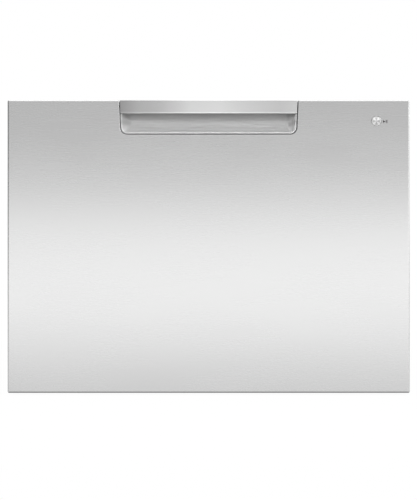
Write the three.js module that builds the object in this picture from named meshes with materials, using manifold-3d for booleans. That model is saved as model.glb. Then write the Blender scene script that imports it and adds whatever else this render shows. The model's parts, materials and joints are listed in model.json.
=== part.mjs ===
// A single-drawer dishwasher: a steel chassis holding a tub that rolls out on telescopic
// runners behind a stainless steel front. Millimetres, +Z up, the front faces -Y.
// The origin is on the floor, under the middle of the whole machine.
import * as THREE from "three";
import { mergeVertices } from "three/addons/utils/BufferGeometryUtils.js";
import Module from "manifold-3d";

const wasm = await Module();
wasm.setup();

// ---------- Driving dimensions ----------

const SEAT = 0.3; // clearance between two pieces that rest on each other
const RUN = 0.4; // clearance between two pieces that slide past each other

// Overall
const FRONT_WIDTH = 599;
const FRONT_HEIGHT = 436;
const FLOOR_GAP = 4; // under the front
const DEPTH = 573;
const LIP_BOW = 4; // how far the handle lip stands forward in its middle
const FRONT_Y = -DEPTH / 2 + LIP_BOW; // the flat face of the front
const REAR_Y = DEPTH / 2;
const FRONT_TOP = FLOOR_GAP + FRONT_HEIGHT;

// Stainless front skin, a shallow pan
const SKIN = 1;
const SKIN_RETURN = 18;
const SKIN_EDGE_R = 3;
const SKIN_CORNER_R = 2.5;

// Handle opening in the skin, with its pocket and lip
const OPENING_TOP_WIDTH = 267.4;
const OPENING_BOTTOM_WIDTH = 263.8;
const OPENING_HEIGHT = 51.3;
const OPENING_CORNER_R = 10.5;
const REVEAL = 1.5; // the dark line round the pocket
const LIP_HEIGHT = 19.2;
const LIP_SHEET = 1.5;
const LIP_HEM = 3; // thickness of the rolled lower edge
const LIP_FLANGE = 17;
const POCKET_WALL = 2;
const POCKET_RIM = 1.6;
const POCKET_SLOPE = 14; // how far the ends lean in from rim to back
const POCKET_BEND = 2; // how far they have leaned in where they turn inwards
const POCKET_BEND_DEPTH = 0.4; // where that is, as a share of the depth
const POCKET_FLANGE = 3; // how far the pocket laps over the back of the skin
const POCKET_ROOM = 1; // clearance round the pocket in the liner

// Inner liner of the front and the seal on its back
const LINER_DEPTH = 30;
const LINER_PLATE = 3;
const LINER_WALL = 2.5;
const LINER_BACK = FRONT_Y + LINER_DEPTH;
const POCKET_BACK = LINER_BACK - LINER_PLATE - SEAT - POCKET_WALL; // the pocket's inside at the back
const CABLE_HOLE_R = 9;
const FRONT_SEAL_THICK = 4.2;
const FRONT_SEAL_WIDTH = 9;

// Start button
const BUTTON_X = FRONT_WIDTH / 2 - 50;
const BUTTON_Z = FRONT_TOP - 31.3;
const BUTTON_R = 7;
const BUTTON_PROUD = 0.6;
const BUTTON_STEM_R = 4;
const BUTTON_FLANGE = 2; // the collar that keeps the button behind the skin
const BUTTON_TRAVEL = 1.2;
const MODULE_WIDTH = 44;
const MODULE_HEIGHT = 34;
const MODULE_DEPTH = 17;
const MODULE_FLOOR = 4;
const SPRING_WIRE_R = 0.5;
const SPRING_TURNS = 4;
const KEY_HALF = 2.5; // half the width of the key switch on the board
const BOARD = 1.6;
const BOARD_WIDTH = 128;
const BOARD_HEIGHT = 95;

// Chassis
const CHASSIS_INSET = 2; // how far each side stands in from the front's edge
const CHASSIS_DROP = 6; // from the front's top edge down to the chassis
const CHASSIS_WIDTH = FRONT_WIDTH - 2 * CHASSIS_INSET;
const CHASSIS_TOP = FRONT_TOP - CHASSIS_DROP;
const SHEET = 1;
const FLANGE = 12;
const CHASSIS_FRONT = LINER_BACK + FRONT_SEAL_THICK + 2 * SEAT;
const BACK_INSET = 31; // the back panel stands in, to leave room for the fittings
const BACK_Y = REAR_Y - BACK_INSET; // its outer face
const SIDE_IN = CHASSIS_WIDTH / 2 - SHEET; // inner face of a side panel
const PAN_FLOOR = 3;
const PAN_WALL = 3;
const PAN_HEIGHT = 20;
const PAN_SILL = 10; // height of its front wall, which the drawer's underside passes over
const PAN_BOTTOM = FLOOR_GAP + 1;
const FOOT_R = 16;
const FOOT_INSET_X = 45;
const FOOT_INSET_Y = 75;

// Telescopic runners: an outer channel, a middle channel and an inner channel, nested
const RUNNER_LENGTH = DEPTH - 93;
const RUNNER_Z = 85;
const RUNNER_HEIGHT = 45;
const RUNNER_SHEET = 1.6;
const RUNNER_LIP = 10.7; // depth of each channel
const RUNNER_FRONT = CHASSIS_FRONT + 4;
const NEST = RUNNER_SHEET + RUN; // each channel sits this much inside the next

// Tub
const TUB_SIDE_ROOM = 31.5; // from the tub's inside to the outside of the chassis
const TUB_HEADROOM = 58; // from the tub's rim to the top of the chassis
const TUB_WIDTH = CHASSIS_WIDTH - 2 * TUB_SIDE_ROOM; // inside, at the rim
const TUB_REAR_ROOM = 113; // what the front and the space behind the tub take of the depth
const TUB_DEPTH = DEPTH - TUB_REAR_ROOM;
const TUB_TOP = CHASSIS_TOP - TUB_HEADROOM;
const TUB_FLOOR = 107;
const TUB_WALL = 3;
const TUB_CORNER_R = 45;
const TUB_DRAFT = 2;
const TUB_FILLET = 22;
const RIM_OUTSET = 8;
const RIM_THICK = 6;
const TUB_Y = CHASSIS_FRONT + 3 + RIM_OUTSET + TUB_DEPTH / 2;
const TUB_SEAL_HEIGHT = 5.4;
const TUB_SEAL_WIDTH = 6.5;
const CRADLE_SHEET = 2;
const CRADLE_LEDGE = 56;
const CRADLE_TAB = 40;

// Sump, pump and filter, round the tub's middle
const RECESS_R = 152; // shallow recess that holds the filter plate
const RECESS_DEPTH = 10;
const SUMP_R = 60;
const SUMP_BOTTOM = 64;
const WELL_R = 36; // drain well in front of the sump
const WELL_BOTTOM = 74;
const WELL_OFFSET = 110;
const WELL_Y = TUB_Y - WELL_OFFSET;
const SHAFT_R = 5;
const IMPELLER_R = 42;
const IMPELLER_HEIGHT = 18;
const POST_R = 9;
const POST_TOP = 141;
const PUMP_COVER_R = 70;
const FILTER_SHEET = 1.5;
const HEATER_R = 110;
const HEATER_TUBE_R = 3.3;
const HEATER_GAP_DEG = 30; // half of the ring's open angle, at the front
const ARM_REACH = 212;
const ARM_LOW = 120;
const ARM_HEIGHT = 12;
const ARM_HUB_R = 17;

// Motor and drain pump under the tub
const MOTOR_R = 58;
const MOTOR_BOTTOM = PAN_BOTTOM + PAN_SILL + 3;
const MOTOR_WALL = 3;
const STATOR_IN_R = 33;
const ROTOR_R = 30;
const DRAIN_PUMP_R = 28;
const HOSE_R = 11;
const DRAIN_HOSE_R = 9;
const HOSE_BLOCK = 28; // height of the block that joins the two hoses
const HOSE_Z = MOTOR_BOTTOM + HOSE_BLOCK / 2 + 1;

// Lid, with a rack on each side
const LID_TRAVEL = 10; // from raised down onto the tub's seal
const LID_LOW = TUB_TOP + TUB_SEAL_HEIGHT + 2 * SEAT + LID_TRAVEL; // underside when raised
const LID_HEIGHT = 20;
const LID_WALL = 2.5;
const LID_SIDE_ROOM = 18.5; // for the gears, from the lid to the outside of the chassis
const LID_HALF = CHASSIS_WIDTH / 2 - LID_SIDE_ROOM;
const LID_MARGIN = 3.5; // from the chassis front edge
const RACK_MODULE = 1.5;
const PINION_TEETH = 12;
const PINION_PITCH_R = (RACK_MODULE * PINION_TEETH) / 2;
const GEAR_WIDTH = 7.6;
const BACKLASH = 0.35;
const ADDENDUM = 0.85 * RACK_MODULE;
const DEDENDUM = 1.2 * RACK_MODULE;
const PRESSURE_ANGLE = THREE.MathUtils.degToRad(20);
const PINION_Y = 0;
const PINION_Z = LID_LOW + 17;
const PINION_SHAFT_R = 3;
const GEARBOX_PLATE = 6.6;

// Dispenser on the tub's front wall
const DISPENSER_X = -60;
const DISPENSER_WIDTH = 180;
const DISPENSER_HEIGHT = 90;
const DISPENSER_Z = TUB_TOP - 106;
const DISPENSER_THICK = 21;
const CUP_WIDTH = 52;
const CUP_HEIGHT = 66;
const CUP_DEPTH = 15;
const CUP_X = DISPENSER_X - 53;
const COVER_THICK = 2.4;
const COVER_MARGIN = 4; // how far the cover laps over the cup's edge
const RINSE_X = DISPENSER_X + 62;
const RINSE_CAP_R = 17;

// Wire basket
const WIRE_R = 2;
const BASKET_ROOM_X = 16; // from the basket's rim to the tub's wall
const BASKET_ROOM_Y = 30;
const BASKET_HALF_X = TUB_WIDTH / 2 - BASKET_ROOM_X;
const BASKET_HALF_Y = TUB_DEPTH / 2 - BASKET_ROOM_Y;
const BASKET_Y = TUB_Y + 4.7; // its middle stands a little behind the tub's
const BASKET_FLOOR = 152;
const BASKET_RIM = TUB_TOP - 36;
const BASKET_LEAN = 8; // the sides flare out by this much from floor to rim
const BASKET_CORNER_R = 12;
const WALL_OUT = 1.5; // how far the uprights stand outside the level wires
const WIRES_ALONG_Y = 9;
const HOOPS = 4;
const TINE_HEIGHT = 80;
const TINES = 10;
const TINE_X = 75;
const TINE_START = 30; // first tine, from the basket's front edge
const TINE_END = 28; // last tine, from its rear edge
const TINE_PITCH = (2 * BASKET_HALF_Y - TINE_START - TINE_END) / (TINES - 1);
const TINE_OVERHANG = 12; // how far a tine rod runs past its last tines
const SHORT_TINE = 42;
const CLIP_WIDTH = 8;
const CLIP_WALL = 2.4;
const SHELF_Z = BASKET_RIM - 65;
const SHELF_DEPTH = 92;
const SHELF_HINGE_X = BASKET_HALF_X - 10;
const CUTLERY_WIDTH = 140;
const CUTLERY_DEPTH = 2 * TINE_PITCH - 14;
const CUTLERY_HEIGHT = 92;
const CUTLERY_X = BASKET_HALF_X - 85;
const CUTLERY_WALL = 2;

// Fittings behind the back panel
const FITTING_INSET = 82.5; // of the outer fittings, from the sides of the chassis
const SPIGOT_X = FITTING_INSET - CHASSIS_WIDTH / 2;
const SPIGOT_Z = 42;
const SPIGOT_R = 9;
const SPIGOT_BORE = 7;
const SPIGOT_INSIDE = 6; // how far it reaches in through the back panel
const VALVE_X = 120;
const VALVE_Z = 48;
const VALVE_THREAD_R = 13;
const TERMINAL_X = CHASSIS_WIDTH / 2 - FITTING_INSET;
const TERMINAL_Z = 60;
const TERMINAL_WIDTH = 84;
const TERMINAL_HEIGHT = 56;
const GLAND_R = 9; // the cord gland on the terminal box
const GLAND_REACH = 10;

// ---------- Materials ----------

const steel = (hex, roughness) =>
  new THREE.MeshStandardMaterial({ color: hex, roughness, metalness: 1 });
const plastic = (hex, roughness) =>
  new THREE.MeshStandardMaterial({ color: hex, roughness, metalness: 0 });

const MATERIALS = {
  brushed: steel("#c6c6c4", 0.32),
  lipSteel: steel("#bfbfbd", 0.28),
  spunSteel: steel("#dcdcdc", 0.2),
  galvanised: steel("#a9adb0", 0.5),
  runnerSteel: steel("#8e9296", 0.35),
  springSteel: steel("#9a9a98", 0.3),
  pocket: plastic("#a8a8a8", 0.45),
  liner: plastic("#6d7073", 0.6),
  tub: plastic("#d7d9da", 0.4),
  lid: plastic("#c9cccd", 0.45),
  pan: plastic("#3a3c3e", 0.7),
  rubber: plastic("#2b2b2c", 0.85),
  wire: plastic("#b9bdc0", 0.4),
  dark: plastic("#3f4447", 0.5),
  blue: plastic("#3f6f9a", 0.45),
  board: plastic("#1f5a3c", 0.5),
  gear: plastic("#e8e6df", 0.5),
};

// ---------- Solid helpers ----------

// A closed geometry as a solid, turned to face outwards.
function toSolid(geometry) {
  const bare = geometry.clone();
  bare.deleteAttribute("normal");
  bare.deleteAttribute("uv");
  const merged = mergeVertices(bare, 1e-4);
  const triVerts = new Uint32Array(merged.index.array);
  const vertProperties = new Float32Array(merged.attributes.position.array);
  const make = () => new wasm.Manifold(new wasm.Mesh({ numProp: 3, vertProperties, triVerts }));
  const solid = make();
  if (solid.volume() >= 0) return solid;
  for (let i = 0; i < triVerts.length; i += 3) {
    [triVerts[i], triVerts[i + 1]] = [triVerts[i + 1], triVerts[i]];
  }
  return make();
}

function toGeometry(solid) {
  const { vertProperties, triVerts, numProp } = solid.getMesh();
  const count = vertProperties.length / numProp;
  const positions = new Float32Array(count * 3);
  for (let i = 0; i < count; i++) {
    for (let k = 0; k < 3; k++) positions[3 * i + k] = vertProperties[numProp * i + k];
  }
  const geometry = new THREE.BufferGeometry();
  geometry.setAttribute("position", new THREE.BufferAttribute(positions, 3));
  geometry.setIndex(new THREE.BufferAttribute(new Uint32Array(triVerts), 1));
  geometry.computeVertexNormals();
  return geometry;
}

const join = (...solids) => solids.flat().reduce((a, b) => a.add(b));
const cut = (solid, ...tools) => tools.flat().reduce((a, b) => a.subtract(b), solid);

function box(x0, x1, y0, y1, z0, z1) {
  const geometry = new THREE.BoxGeometry(x1 - x0, y1 - y0, z1 - z0);
  geometry.translate((x0 + x1) / 2, (y0 + y1) / 2, (z0 + z1) / 2);
  return toSolid(geometry);
}

// A cylinder along an axis ("x", "y" or "z") from one end to the other.
function rod(axis, radius, from, to, at, sides = 24, endRadius = radius) {
  const geometry = new THREE.CylinderGeometry(endRadius, radius, to - from, sides);
  geometry.translate(0, (from + to) / 2, 0);
  if (axis === "x") geometry.rotateZ(-Math.PI / 2).translate(0, at[0], at[1]);
  if (axis === "y") geometry.translate(at[0], 0, at[1]);
  if (axis === "z") geometry.rotateX(Math.PI / 2).translate(at[0], at[1], 0);
  return toSolid(geometry);
}

// A lathe profile of [radius, height] pairs turned about the upright line through (x, y).
function turned(profile, x, y, sides = 24) {
  const points = profile.map(([r, z]) => new THREE.Vector2(r, z));
  const geometry = new THREE.LatheGeometry([...points, points[0]], sides);
  return toSolid(geometry.rotateX(Math.PI / 2).translate(x, y, 0));
}

// The same about the line along Y through (x, z); heights run along +Y.
function turnedAlongY(profile, x, z, sides = 20) {
  const points = profile.map(([r, y]) => new THREE.Vector2(r, y));
  return toSolid(new THREE.LatheGeometry([...points, points[0]], sides).translate(x, 0, z));
}

// Joins rings of points, each with as many points, into one closed skin.
// Open ends are capped; with closed true the last ring joins the first.
function loft(rings, closed = false) {
  const size = rings[0].length;
  const positions = rings.flat().flatMap((p) => [p.x, p.y, p.z]);
  const index = [];
  const spans = closed ? rings.length : rings.length - 1;
  for (let i = 0; i < spans; i++) {
    for (let j = 0; j < size; j++) {
      const a = i * size + j;
      const b = i * size + ((j + 1) % size);
      const c = ((i + 1) % rings.length) * size + j;
      const d = ((i + 1) % rings.length) * size + ((j + 1) % size);
      index.push(a, b, d, a, d, c);
    }
  }
  if (!closed) {
    capFaces(rings[0]).forEach(([a, b, c]) => index.push(a, c, b));
    const last = (rings.length - 1) * size;
    capFaces(rings[rings.length - 1]).forEach(([a, b, c]) => index.push(last + a, last + b, last + c));
  }
  const geometry = new THREE.BufferGeometry();
  geometry.setAttribute("position", new THREE.Float32BufferAttribute(positions, 3));
  geometry.setIndex(index);
  return toSolid(geometry);
}

// Triangles across a flat ring, wound as the ring is.
function capFaces(ring) {
  const normal = new THREE.Vector3();
  ring.forEach((p, i) => normal.add(p.clone().cross(ring[(i + 1) % ring.length])));
  const upright = Math.abs(normal.z) < 0.9 * normal.length();
  const across = upright ? new THREE.Vector3(0, 0, 1) : new THREE.Vector3(1, 0, 0);
  const u = across.cross(normal).normalize();
  const v = normal.clone().normalize().cross(u);
  const flat = ring.map((p) => new THREE.Vector2(p.dot(u), p.dot(v)));
  return THREE.ShapeUtils.triangulateShape(flat, []);
}

// Corner points of a rectangle with round corners, as [u, v] pairs.
function roundedOutline(halfU, halfV, radius, segments = 5) {
  const points = [];
  [[1, 1, 0], [-1, 1, 90], [-1, -1, 180], [1, -1, 270]].forEach(([su, sv, start]) => {
    for (let i = 0; i <= segments; i++) {
      const a = THREE.MathUtils.degToRad(start + (90 * i) / segments);
      points.push([
        su * (halfU - radius) + radius * Math.cos(a),
        sv * (halfV - radius) + radius * Math.sin(a),
      ]);
    }
  });
  return points;
}

// An outline of [u, v] pairs carried straight along an axis. The pairs are (y, z) for "x",
// (x, z) for "y" and (x, y) for "z".
function prism(axis, outline, from, to) {
  const point = {
    x: (u, v, w) => new THREE.Vector3(w, u, v),
    y: (u, v, w) => new THREE.Vector3(u, w, v),
    z: (u, v, w) => new THREE.Vector3(u, v, w),
  }[axis];
  return loft([from, to].map((w) => outline.map(([u, v]) => point(u, v, w))));
}

const levelRing = (outline, x, y, z) => outline.map(([u, v]) => new THREE.Vector3(x + u, y + v, z));
const uprightRing = (outline, y, z) => outline.map(([u, v]) => new THREE.Vector3(u, y, z + v));

// The corner radius of a polygon with the same area as a circle.
function evenRadius(radius, sides) {
  const step = (2 * Math.PI) / sides;
  return radius * Math.sqrt(step / Math.sin(step));
}

// A wire of even thickness along straight runs, mitred where they meet.
function wire(points, radius = WIRE_R, sides = 4, closed = false) {
  const corner = evenRadius(radius, sides);
  const path = points.map((p) => new THREE.Vector3(...p));
  const count = path.length;
  const runs = path.map((p, i) => path[(i + 1) % count].clone().sub(p).normalize());
  let side = new THREE.Vector3();
  runs.slice(1, closed ? count : count - 1).forEach((run, i) => side.add(runs[i].clone().cross(run)));
  if (side.length() < 1e-3) side.set(runs[0].y, runs[0].z, runs[0].x).cross(runs[0]);
  const rings = path.map((p, i) => {
    const before = i === 0 && !closed ? runs[0] : runs[(i - 1 + count) % count];
    const after = i === count - 1 && !closed ? before : runs[i];
    const plane = before.clone().add(after).normalize();
    side.addScaledVector(before, -side.dot(before)).normalize();
    const up = before.clone().cross(side);
    const ring = [];
    for (let k = 0; k < sides; k++) {
      const a = (2 * Math.PI * (k + 0.5)) / sides;
      const offset = side.clone().multiplyScalar(corner * Math.cos(a));
      offset.addScaledVector(up, corner * Math.sin(a));
      offset.addScaledVector(before, -offset.dot(plane) / before.dot(plane));
      ring.push(p.clone().add(offset));
    }
    side = side.clone().addScaledVector(after, -side.dot(after)).normalize();
    return ring;
  });
  return loft(rings, closed);
}

// A hose: a round section along a smooth curve through the points.
function hose(points, radius, sides, steps) {
  const curve = new THREE.CatmullRomCurve3(points.map((p) => new THREE.Vector3(...p)), false, "centripetal");
  const section = new THREE.Shape();
  for (let k = 0; k < sides; k++) {
    const a = (2 * Math.PI * k) / sides;
    section[k ? "lineTo" : "moveTo"](radius * Math.cos(a), radius * Math.sin(a));
  }
  return toSolid(new THREE.ExtrudeGeometry(section, { steps, extrudePath: curve, bevelEnabled: false }));
}

// Evenly spaced places from first to last.
const spread = (first, last, count) =>
  Array.from({ length: count }, (_, i) => first + ((last - first) * i) / (count - 1));

// A group whose own origin is a point of the machine, such as a hinge or a shaft.
class Assembly extends THREE.Group {
  constructor(parent, x = 0, y = 0, z = 0) {
    super();
    this.origin = new THREE.Vector3(x, y, z);
    if (!parent) return;
    this.position.copy(this.origin).sub(parent.origin);
    parent.add(this);
  }

  // Adds a piece that is drawn in the machine's own coordinates.
  piece(name, solid, material) {
    const { x, y, z } = this.origin;
    const mesh = new THREE.Mesh(toGeometry(solid.translate([-x, -y, -z])), material);
    mesh.name = name;
    this.add(mesh);
  }

  // Both hands of a piece that is drawn on the +X side.
  pair(name, solid, material) {
    this.piece(`${name}_right`, solid, material);
    this.piece(`${name}_left`, solid.mirror([1, 0, 0]), material);
  }
}

// ---------- Drawer front ----------

// The handle opening's outline, made smaller by inset: square top corners, round bottom ones.
function openingRing(inset, y, top = FRONT_TOP + 1, segments = 6) {
  const bottom = FRONT_TOP - OPENING_HEIGHT + inset;
  const radius = Math.max(OPENING_CORNER_R - inset, 2);
  const slope = (OPENING_TOP_WIDTH - OPENING_BOTTOM_WIDTH) / 2 / OPENING_HEIGHT;
  const half = (z) => OPENING_BOTTOM_WIDTH / 2 - inset + slope * (z - (FRONT_TOP - OPENING_HEIGHT));
  const points = [new THREE.Vector3(half(top), y, top), new THREE.Vector3(-half(top), y, top)];
  for (const [sign, start] of [[-1, 180], [1, 270]]) {
    for (let i = 0; i <= segments; i++) {
      const a = THREE.MathUtils.degToRad(start + (90 * i) / segments);
      const x = sign * (half(bottom) - radius) + radius * Math.cos(a);
      points.push(new THREE.Vector3(x, y, bottom + radius + radius * Math.sin(a)));
    }
  }
  return points;
}

function frontSkin() {
  const middle = FLOOR_GAP + FRONT_HEIGHT / 2;
  const corner = (inset) => Math.max(SKIN_CORNER_R - inset, 0.6);
  const ring = (inset, y) =>
    uprightRing(
      roundedOutline(FRONT_WIDTH / 2 - inset, FRONT_HEIGHT / 2 - inset, corner(inset), 2),
      y,
      middle,
    );
  const edge = (offset) =>
    [90, 60, 30, 0].map((degrees) => {
      const a = THREE.MathUtils.degToRad(degrees);
      const r = SKIN_EDGE_R - offset;
      return ring(SKIN_EDGE_R - r * Math.cos(a), FRONT_Y + SKIN_EDGE_R - r * Math.sin(a));
    });
  const outer = [...edge(0), ring(0, FRONT_Y + SKIN_RETURN)];
  const inner = [ring(SKIN, FRONT_Y + SKIN_RETURN), ...edge(SKIN).reverse()];
  const pan = loft([...outer, ...inner]);
  const opening = loft([openingRing(0, FRONT_Y - 1), openingRing(0, FRONT_Y + SKIN_RETURN + 1)]);
  const hole = rod("y", BUTTON_R + RUN, FRONT_Y - 1, FRONT_Y + SKIN + 1, [BUTTON_X, BUTTON_Z]);
  return cut(pan, opening, hole);
}

// The lip bows forward; its ends follow the slanting sides of the opening.
function handleLip() {
  const round = LIP_HEM / 2;
  const low = FRONT_TOP - LIP_HEIGHT;
  const profile = [
    [LIP_FLANGE, FRONT_TOP, 0],
    [round, FRONT_TOP, 1],
    [0.3 * round, FRONT_TOP - 0.3 * round, 1],
    [0, FRONT_TOP - round, 1],
    [0, low + round, 1],
    [0.3 * round, low + 0.3 * round, 1],
    [round, low, 1],
    [LIP_HEM - 0.3 * round, low + 0.3 * round, 1],
    [LIP_HEM, low + round, 1],
    [LIP_HEM, low + LIP_HEM, 1],
    [LIP_SHEET, low + LIP_HEM + 1, 1],
    [LIP_SHEET, FRONT_TOP - LIP_SHEET, 1],
    [LIP_FLANGE, FRONT_TOP - LIP_SHEET, 0],
  ];
  const slope = (OPENING_TOP_WIDTH - OPENING_BOTTOM_WIDTH) / 2 / OPENING_HEIGHT;
  const rings = spread(-1, 1, 13).map((t) =>
    profile.map(([y, z, bowed]) => {
      const half = OPENING_TOP_WIDTH / 2 - REVEAL - slope * (FRONT_TOP - z);
      return new THREE.Vector3(t * half, FRONT_Y + y - bowed * LIP_BOW * (1 - t * t), z);
    }),
  );
  return loft(rings);
}

// The finger pocket: a dished moulding whose rim shows round the sides and the bottom.
function handlePocket() {
  const top = FRONT_TOP - LIP_SHEET - SEAT;
  const flangeFront = FRONT_Y + SKIN + SEAT;
  const depth = POCKET_BACK - FRONT_Y;
  const rim = REVEAL;
  const shell = loft([
    openingRing(rim + 0.5, FRONT_Y, top),
    openingRing(rim, FRONT_Y + 0.5, top),
    openingRing(rim, flangeFront, top),
    openingRing(-POCKET_FLANGE, flangeFront, top),
    openingRing(-POCKET_FLANGE, flangeFront + POCKET_WALL, top),
    openingRing(rim, flangeFront + POCKET_WALL, top),
    openingRing(rim + POCKET_BEND, FRONT_Y + POCKET_BEND_DEPTH * depth, top),
    openingRing(rim + POCKET_SLOPE, POCKET_BACK + POCKET_WALL, top),
  ]);
  const roof = top - POCKET_WALL;
  const hollow = loft([
    openingRing(rim + POCKET_RIM - 0.6, FRONT_Y - 1, roof),
    openingRing(rim + POCKET_RIM, FRONT_Y + 0.6, roof),
    openingRing(rim + POCKET_RIM + 0.8, FRONT_Y + 2, roof),
    openingRing(rim + POCKET_RIM + POCKET_BEND + 0.6, FRONT_Y + POCKET_BEND_DEPTH * depth, roof),
    openingRing(rim + POCKET_RIM + 0.4 * POCKET_SLOPE, FRONT_Y + 0.75 * depth, roof),
    openingRing(rim + POCKET_SLOPE + POCKET_RIM, POCKET_BACK, roof),
  ]);
  const lipRoom = box(
    -FRONT_WIDTH / 2, FRONT_WIDTH / 2,
    FRONT_Y - 2, FRONT_Y + LIP_HEM + SEAT,
    FRONT_TOP - LIP_HEIGHT - SEAT, FRONT_TOP + 1,
  );
  return cut(shell, hollow, lipRoom);
}

function frontLiner() {
  const middle = FLOOR_GAP + FRONT_HEIGHT / 2;
  const reach = SKIN + SEAT;
  const front = FRONT_Y + SKIN + SEAT;
  const ring = (inset, y, corner) =>
    uprightRing(
      roundedOutline(FRONT_WIDTH / 2 - reach - inset, FRONT_HEIGHT / 2 - reach - inset, corner, 2),
      y,
      middle,
    );
  const chamfer = SKIN_EDGE_R;
  const shell = loft([
    ring(0, LINER_BACK, 2),
    ring(0, front + chamfer, 2),
    ring(chamfer, front, 2),
    ring(chamfer + LINER_WALL, front, 1),
    ring(chamfer + LINER_WALL, LINER_BACK - LINER_PLATE, 1),
  ]);
  const flangeBack = FRONT_Y + SKIN + POCKET_WALL + 3 * SEAT;
  const room = (inset, y) => openingRing(inset - POCKET_ROOM, y, FRONT_TOP + 2);
  const pocketRoom = loft([
    room(-POCKET_FLANGE, FRONT_Y),
    room(-POCKET_FLANGE, flangeBack),
    room(REVEAL, flangeBack),
    room(REVEAL + POCKET_BEND, FRONT_Y + POCKET_BEND_DEPTH * (POCKET_BACK - FRONT_Y)),
    room(REVEAL + POCKET_SLOPE, POCKET_BACK + POCKET_WALL + SEAT),
  ]);
  const lipRoom = box(
    -OPENING_TOP_WIDTH / 2, OPENING_TOP_WIDTH / 2,
    FRONT_Y, FRONT_Y + LIP_FLANGE + SEAT,
    FRONT_TOP - LIP_SHEET - SEAT, FRONT_TOP + 1,
  );
  const plate = LINER_BACK - LINER_PLATE;
  const cableHole = rod("y", CABLE_HOLE_R, plate - 1, LINER_BACK + 1, [BUTTON_X - 60, BUTTON_Z - 110], 16);
  return cut(shell, pocketRoom, lipRoom, cableHole);
}

// The seal frame on the liner's back closes against the chassis edge.
function frontSeal() {
  const middle = (PAN_BOTTOM + CHASSIS_TOP) / 2;
  const halfHeight = (CHASSIS_TOP - PAN_BOTTOM) / 2 - 2;
  const ring = (inset, y) =>
    uprightRing(roundedOutline(SIDE_IN - inset, halfHeight - inset, 12 - inset / 2, 3), y, middle);
  const front = LINER_BACK + SEAT;
  const back = front + FRONT_SEAL_THICK;
  const crest = FRONT_SEAL_WIDTH / 2;
  return loft(
    [
      ring(0, front),
      ring(1, back - 1.5),
      ring(crest, back),
      ring(FRONT_SEAL_WIDTH - 1, back - 1.5),
      ring(FRONT_SEAL_WIDTH, front),
    ],
    true,
  );
}

// ---------- Start button ----------

const MODULE_FRONT = FRONT_Y + SKIN + SEAT;
const SPRING_SEAT = FRONT_Y + MODULE_DEPTH - MODULE_FLOOR;
const COLLAR_BACK = MODULE_FRONT + BUTTON_FLANGE;
const STEM_END = SPRING_SEAT + 0.4 * MODULE_FLOOR;

function startButton() {
  const face = FRONT_Y - BUTTON_PROUD;
  const bevel = 0.5;
  return turnedAlongY(
    [
      [0, face + 0.35],
      [0.55 * BUTTON_R, face + 0.2],
      [BUTTON_R - bevel, face],
      [BUTTON_R, face + bevel],
      [BUTTON_R, MODULE_FRONT],
      [BUTTON_R + BUTTON_FLANGE, MODULE_FRONT],
      [BUTTON_R + BUTTON_FLANGE, COLLAR_BACK],
      [BUTTON_STEM_R, COLLAR_BACK],
      [BUTTON_STEM_R, STEM_END],
      [0, STEM_END],
    ],
    BUTTON_X,
    BUTTON_Z,
    20,
  );
}

function buttonSpring() {
  const first = COLLAR_BACK + SEAT + SPRING_WIRE_R;
  const last = SPRING_SEAT - SEAT - SPRING_WIRE_R;
  const coil = BUTTON_STEM_R + SPRING_WIRE_R + 1;
  const steps = 8 * SPRING_TURNS;
  const points = Array.from({ length: steps + 1 }, (_, i) => {
    const a = (2 * Math.PI * i) / 8;
    const y = first + ((last - first) * i) / steps;
    return [BUTTON_X + coil * Math.cos(a), y, BUTTON_Z + coil * Math.sin(a)];
  });
  return wire(points, SPRING_WIRE_R, 5);
}

// The control module: a housing that the button and its spring sit in, on the board behind it.
function buttonHousing() {
  const block = box(
    BUTTON_X - MODULE_WIDTH / 2, BUTTON_X + MODULE_WIDTH / 2,
    MODULE_FRONT, FRONT_Y + MODULE_DEPTH,
    BUTTON_Z - MODULE_HEIGHT / 2, BUTTON_Z + MODULE_HEIGHT / 2,
  );
  const bore = rod("y", BUTTON_R + BUTTON_FLANGE + RUN, MODULE_FRONT - 1, SPRING_SEAT, [BUTTON_X, BUTTON_Z]);
  const stemHole = rod("y", BUTTON_STEM_R + RUN, FRONT_Y, FRONT_Y + MODULE_DEPTH + 1, [BUTTON_X, BUTTON_Z]);
  return cut(block, bore, stemHole);
}

function controlBoard() {
  const front = FRONT_Y + MODULE_DEPTH - BOARD / 4;
  const right = BUTTON_X + MODULE_WIDTH / 2;
  const top = BUTTON_Z + MODULE_HEIGHT / 2;
  const board = box(right - BOARD_WIDTH, right, front, front + BOARD, top - BOARD_HEIGHT, top);
  const standing = (dx, dz, width, height, tall) =>
    box(right - dx, right - dx + width, front - tall, front + BOARD / 2, top - dz, top - dz + height);
  const switchFace = STEM_END + BUTTON_TRAVEL + 0.1;
  const keySwitch = box(
    BUTTON_X - KEY_HALF, BUTTON_X + KEY_HALF,
    switchFace, front + 0.5,
    BUTTON_Z - KEY_HALF, BUTTON_Z + KEY_HALF,
  );
  return join(
    board,
    keySwitch,
    standing(BOARD_WIDTH - 4, 40, 30, 26, 11),
    standing(BOARD_WIDTH - 42, 34, 14, 14, 9),
    standing(BOARD_WIDTH - 44, 90, 52, 12, 9),
    standing(BOARD_WIDTH - 6, 88, 34, 34, 7),
    standing(50, 66, 22, 18, 4),
  );
}

// ---------- Chassis ----------

const SIDE_LOW = PAN_BOTTOM;
const SIDE_TOP = CHASSIS_TOP - SHEET - SEAT;

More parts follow.
